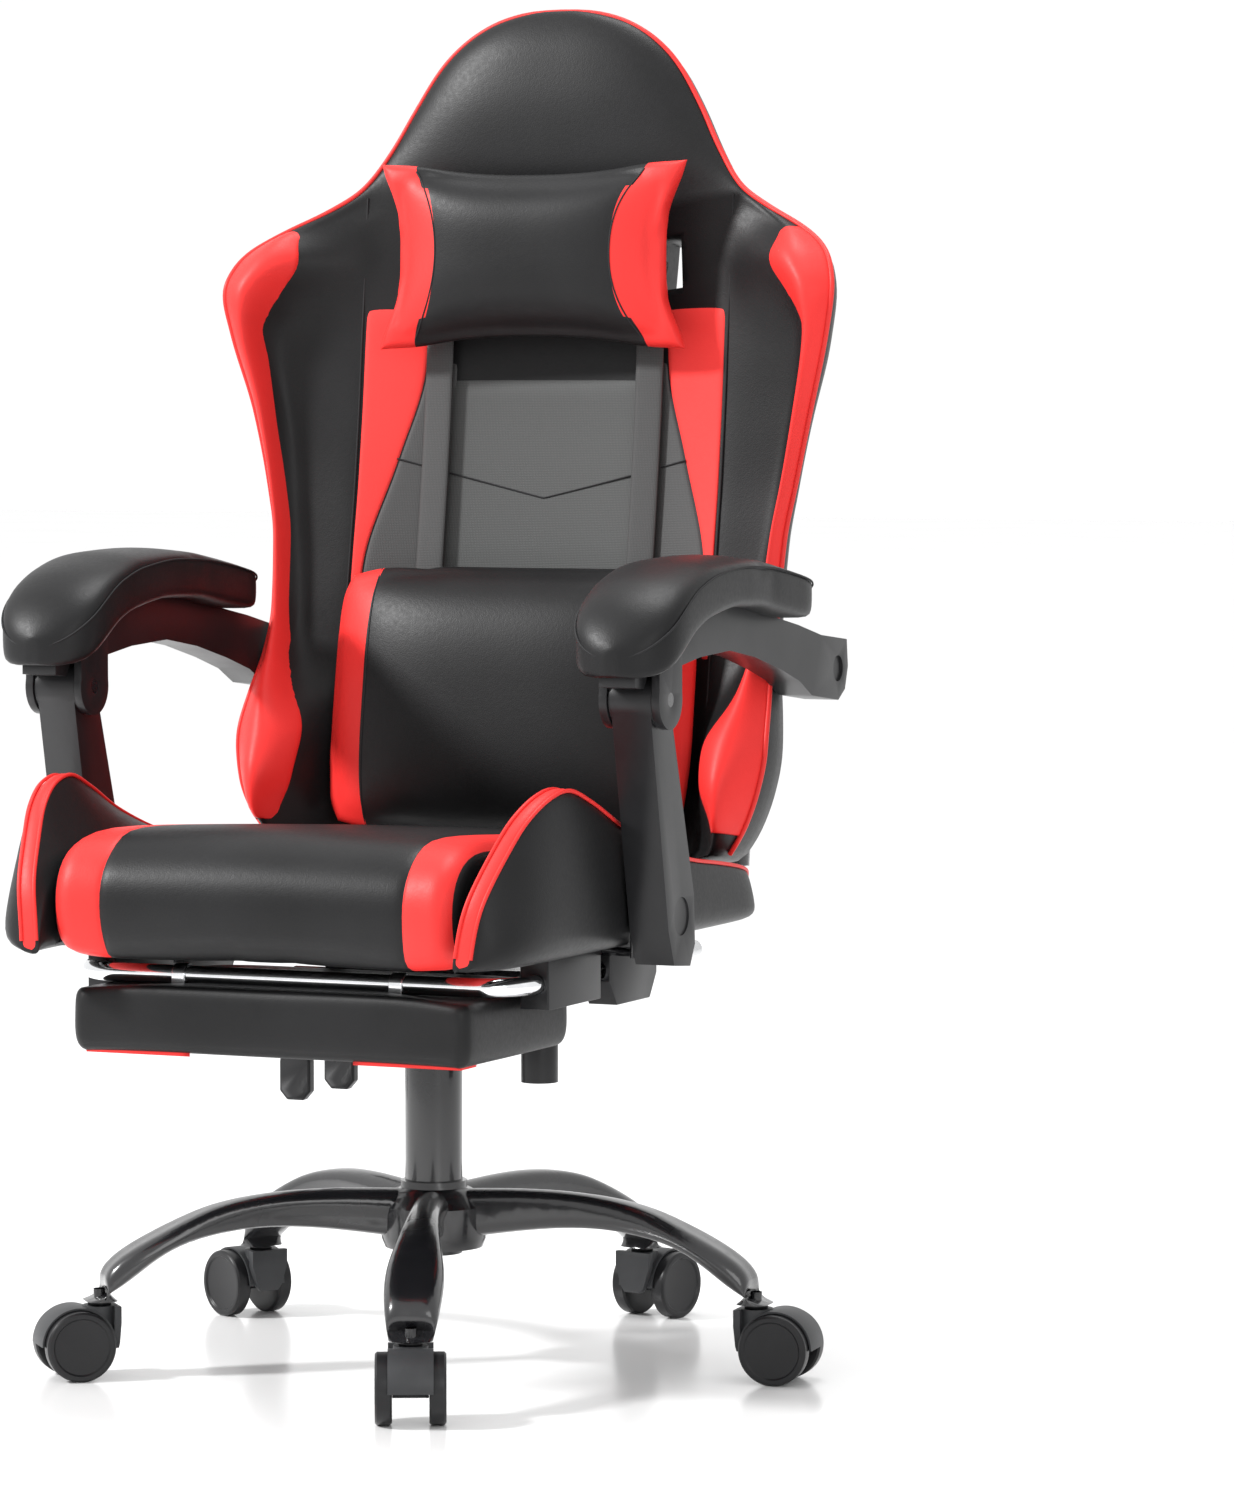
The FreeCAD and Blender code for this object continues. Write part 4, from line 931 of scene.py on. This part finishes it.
def footrest_pad():
    low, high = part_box("footrest_pad")
    top = float(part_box("footrest_board")[1].z) + 0.0025
    half = high.x
    middle_y = 0.5 * (low.y + high.y)
    deep = 0.5 * (high.y - low.y)
    rings = []
    levels = [
        (low.z + 0.0005, 0.016), (low.z + 0.001, 0.009), (low.z + 0.004, 0.004), (low.z + 0.010, 0.001),
        (low.z + 0.020, 0.0), (0.5 * (low.z + top) + 0.004, 0.0005),
        (top - 0.010, 0.0012), (top - 0.004, 0.003),
        (top - 0.0008, 0.006), (top, 0.010),
    ]
    corner = 0.014
    for z, inset in levels:
        ring = []
        for quadrant, (sx, sy) in enumerate(((1, 1), (-1, 1), (-1, -1), (1, -1))):
            cx = sx * (half - corner)
            cy = middle_y + sy * (deep - corner)
            start = quadrant * math.pi / 2
            for step in range(7):
                angle = start + step * math.pi / 12
                reach = corner - inset
                ring.append((cx + math.cos(angle) * reach, cy + math.sin(angle) * reach, z))
            if quadrant in (0, 2):
                for part in np.linspace(0.1, 0.9, 9):
                    x = sx * (half - corner) * (1 - 2 * part)
                    bow = 0.002 * math.sin(math.pi * part)
                    ring.append((x, middle_y + sy * (deep - inset - bow), z))
            else:
                for part in np.linspace(0.2, 0.8, 4):
                    y = cy - 2 * sy * (deep - corner) * part
                    ring.append((sx * (half - inset), y, z))
        rings.append(ring)
    pad = loft("footrest_pad_skin", rings, [BLACK], None, 0)
    inflate(pad, 2.5, 0.002, 12, 25)
    subdivide(pad, 1)
    finish_soft(pad, "footrest_pad", ("footrest_pad",))
    for side, name in SIDES:
        front = []
        back = []
        for row in range(9):
            y = low.y + 0.012 + 0.030 * row / 8
            reach = 0.085 * (1 - row / 8) + 0.012
            line = []
            under = []
            for column in range(9):
                x = side * (half - 0.012 - reach * column / 8)
                line.append((x, y, low.z - 0.0008))
                under.append((x, y, low.z + 0.004))
            front.append(line)
            back.append(under)
        trim(slab("footrest_corner_" + name, front, back, RED, 0), "footrest_pad")


# ---------------------------------------------------------------- hard parts

def soften(node, width, angle=35, smooth=True):
    """Round a CAD node's edges with modifiers only."""
    piece = NODES[node]
    weld = piece.modifiers.new("Weld", "WELD")
    weld.merge_threshold = 0.00002
    if width:
        bevel = piece.modifiers.new("Bevel", "BEVEL")
        bevel.width = width
        bevel.segments = 3
        bevel.limit_method = "ANGLE"
        bevel.angle_limit = math.radians(angle)
        bevel.harden_normals = False
        bevel.use_clamp_overlap = True
    if smooth:
        piece.data.polygons.foreach_set("use_smooth", [True] * len(piece.data.polygons))
        piece.data.set_sharp_from_angle(angle=math.radians(angle))


def paint(node, material):
    piece = NODES[node]
    piece.data.materials.clear()
    piece.data.materials.append(material)


def hard_parts():
    looks = {
        PAINT: ["star_base", "lift_outer_tube", "tilt_housing", "tilt_pivot_pin", "seat_plate", "seat_frame",
                "back_frame", "height_lever", "tilt_lever", "frame_pivot_pins", "arm_rear_bolts"],
        STEEL: ["lift_piston_rod", "footrest_hinge_clamps"],
        CHROME: ["footrest_tube"],
        PLASTIC: ["lift_guide_bush", "height_lever_handle", "tilt_lever_handle", "tension_knob",
                  "footrest_guides", "lift_gas_cylinder", "caster_stems"],
        BOARD: ["footrest_board"],
    }
    for side, name in SIDES:
        looks[PLASTIC] += ["arm_post_" + name, "arm_bracket_" + name]
        looks[PAINT].append("arm_elbow_bolt_" + name)
    looks[HOOD] = []
    looks[CASTER] = []
    for index in range(1, 6):
        looks[HOOD].append(f"caster_fork_{index}")
        looks[STEEL].append(f"caster_axle_{index}")
        looks[CASTER] += [f"caster_wheel_{index}_left", f"caster_wheel_{index}_right"]
    for material, nodes in looks.items():
        for node in nodes:
            paint(node, material)
    for side, name in SIDES:
        soften("arm_post_" + name, 0.006)
        soften("arm_bracket_" + name, 0.003)
    for index in range(1, 6):
        soften(f"caster_fork_{index}", 0.0012)
        for side, name in SIDES:
            soften(f"caster_wheel_{index}_{name}", 0.0008, 30)
    soften("star_base", 0.0015, 40)
    soften("tension_knob", 0.0015)
    soften("footrest_guides", 0.0025)
    soften("tilt_housing", 0.003)
    soften("lift_outer_tube", 0.0008)
    soften("footrest_hinge_clamps", 0.001)
    for node in ("seat_frame", "back_frame", "height_lever", "tilt_lever", "height_lever_handle",
                 "tilt_lever_handle", "footrest_tube", "lift_gas_cylinder", "caster_stems"):
        soften(node, 0)


# ---------------------------------------------------------------- floor, light and camera

CAMERA_AZIMUTH = math.radians(25.41)
CAMERA_DISTANCE = 5.099
CAMERA_HEIGHT = 0.851
CAMERA_YAW = math.radians(1.79)
CAMERA_PITCH = math.radians(3.57)
CAMERA_LENS = 141.5


def camera():
    data = bpy.data.cameras.new("Camera")
    data.lens = CAMERA_LENS
    data.sensor_width = 36
    data.clip_end = 60
    thing = bpy.data.objects.new("Camera", data)
    bpy.context.scene.collection.objects.link(thing)
    bearing = CAMERA_AZIMUTH
    x = CAMERA_DISTANCE * math.sin(bearing)
    y = -CAMERA_DISTANCE * math.cos(bearing)
    thing.location = (x, y, CAMERA_HEIGHT)
    thing.rotation_euler = (math.pi / 2 - CAMERA_PITCH, 0, bearing - CAMERA_YAW)
    bpy.context.scene.camera = thing


def area_light(name, place, target, size, power):
    data = bpy.data.lights.new(name, "AREA")
    data.shape = "DISK"
    data.size = size
    data.energy = power
    thing = bpy.data.objects.new(name, data)
    bpy.context.scene.collection.objects.link(thing)
    thing.location = place
    direction = Vector(target) - Vector(place)
    thing.rotation_euler = direction.to_track_quat("-Z", "Y").to_euler()


def studio():
    material, tree, bsdf = shader("studio_floor", (0.92, 0.92, 0.92), 0.16)
    bsdf.inputs["Specular IOR Level"].default_value = 0.6
    cloud = object_noise(tree, 1.5, 2, 0.5)
    tree.links.new(ranged(tree, cloud.outputs["Fac"], 0.17, 0.19), bsdf.inputs["Roughness"])
    reach = 30
    corners = [(-reach, -reach, 0), (reach, -reach, 0), (reach, reach, 0), (-reach, reach, 0)]
    floor = mesh_piece("studio_floor", corners, [(0, 1, 2, 3)], [material])
    world = bpy.data.worlds.new("Studio")
    bpy.context.scene.world = world
    world.use_nodes = True
    world.node_tree.nodes["Background"].inputs["Color"].default_value = (1, 1, 1, 1)
    world.node_tree.nodes["Background"].inputs["Strength"].default_value = 1.02
    area_light("Key", (-3.4, -2.6, 3.4), (0, 0, 0.5), 0.7, 330)
    area_light("Fill", (3.2, -3.4, 2.0), (0, 0, 0.6), 2.5, 40)
    area_light("Top", (0.0, 0.4, 3.6), (0, 0, 0.6), 1.4, 60)
    bpy.context.scene.view_settings.view_transform = "Standard"


backrest()
head_pillow()
lumbar_pillow()
seat_cushion()
for side, name in SIDES:
    seat_bolster(side, name)
    arm_pad(side, name)
footrest_pad()
hard_parts()
studio()
camera()
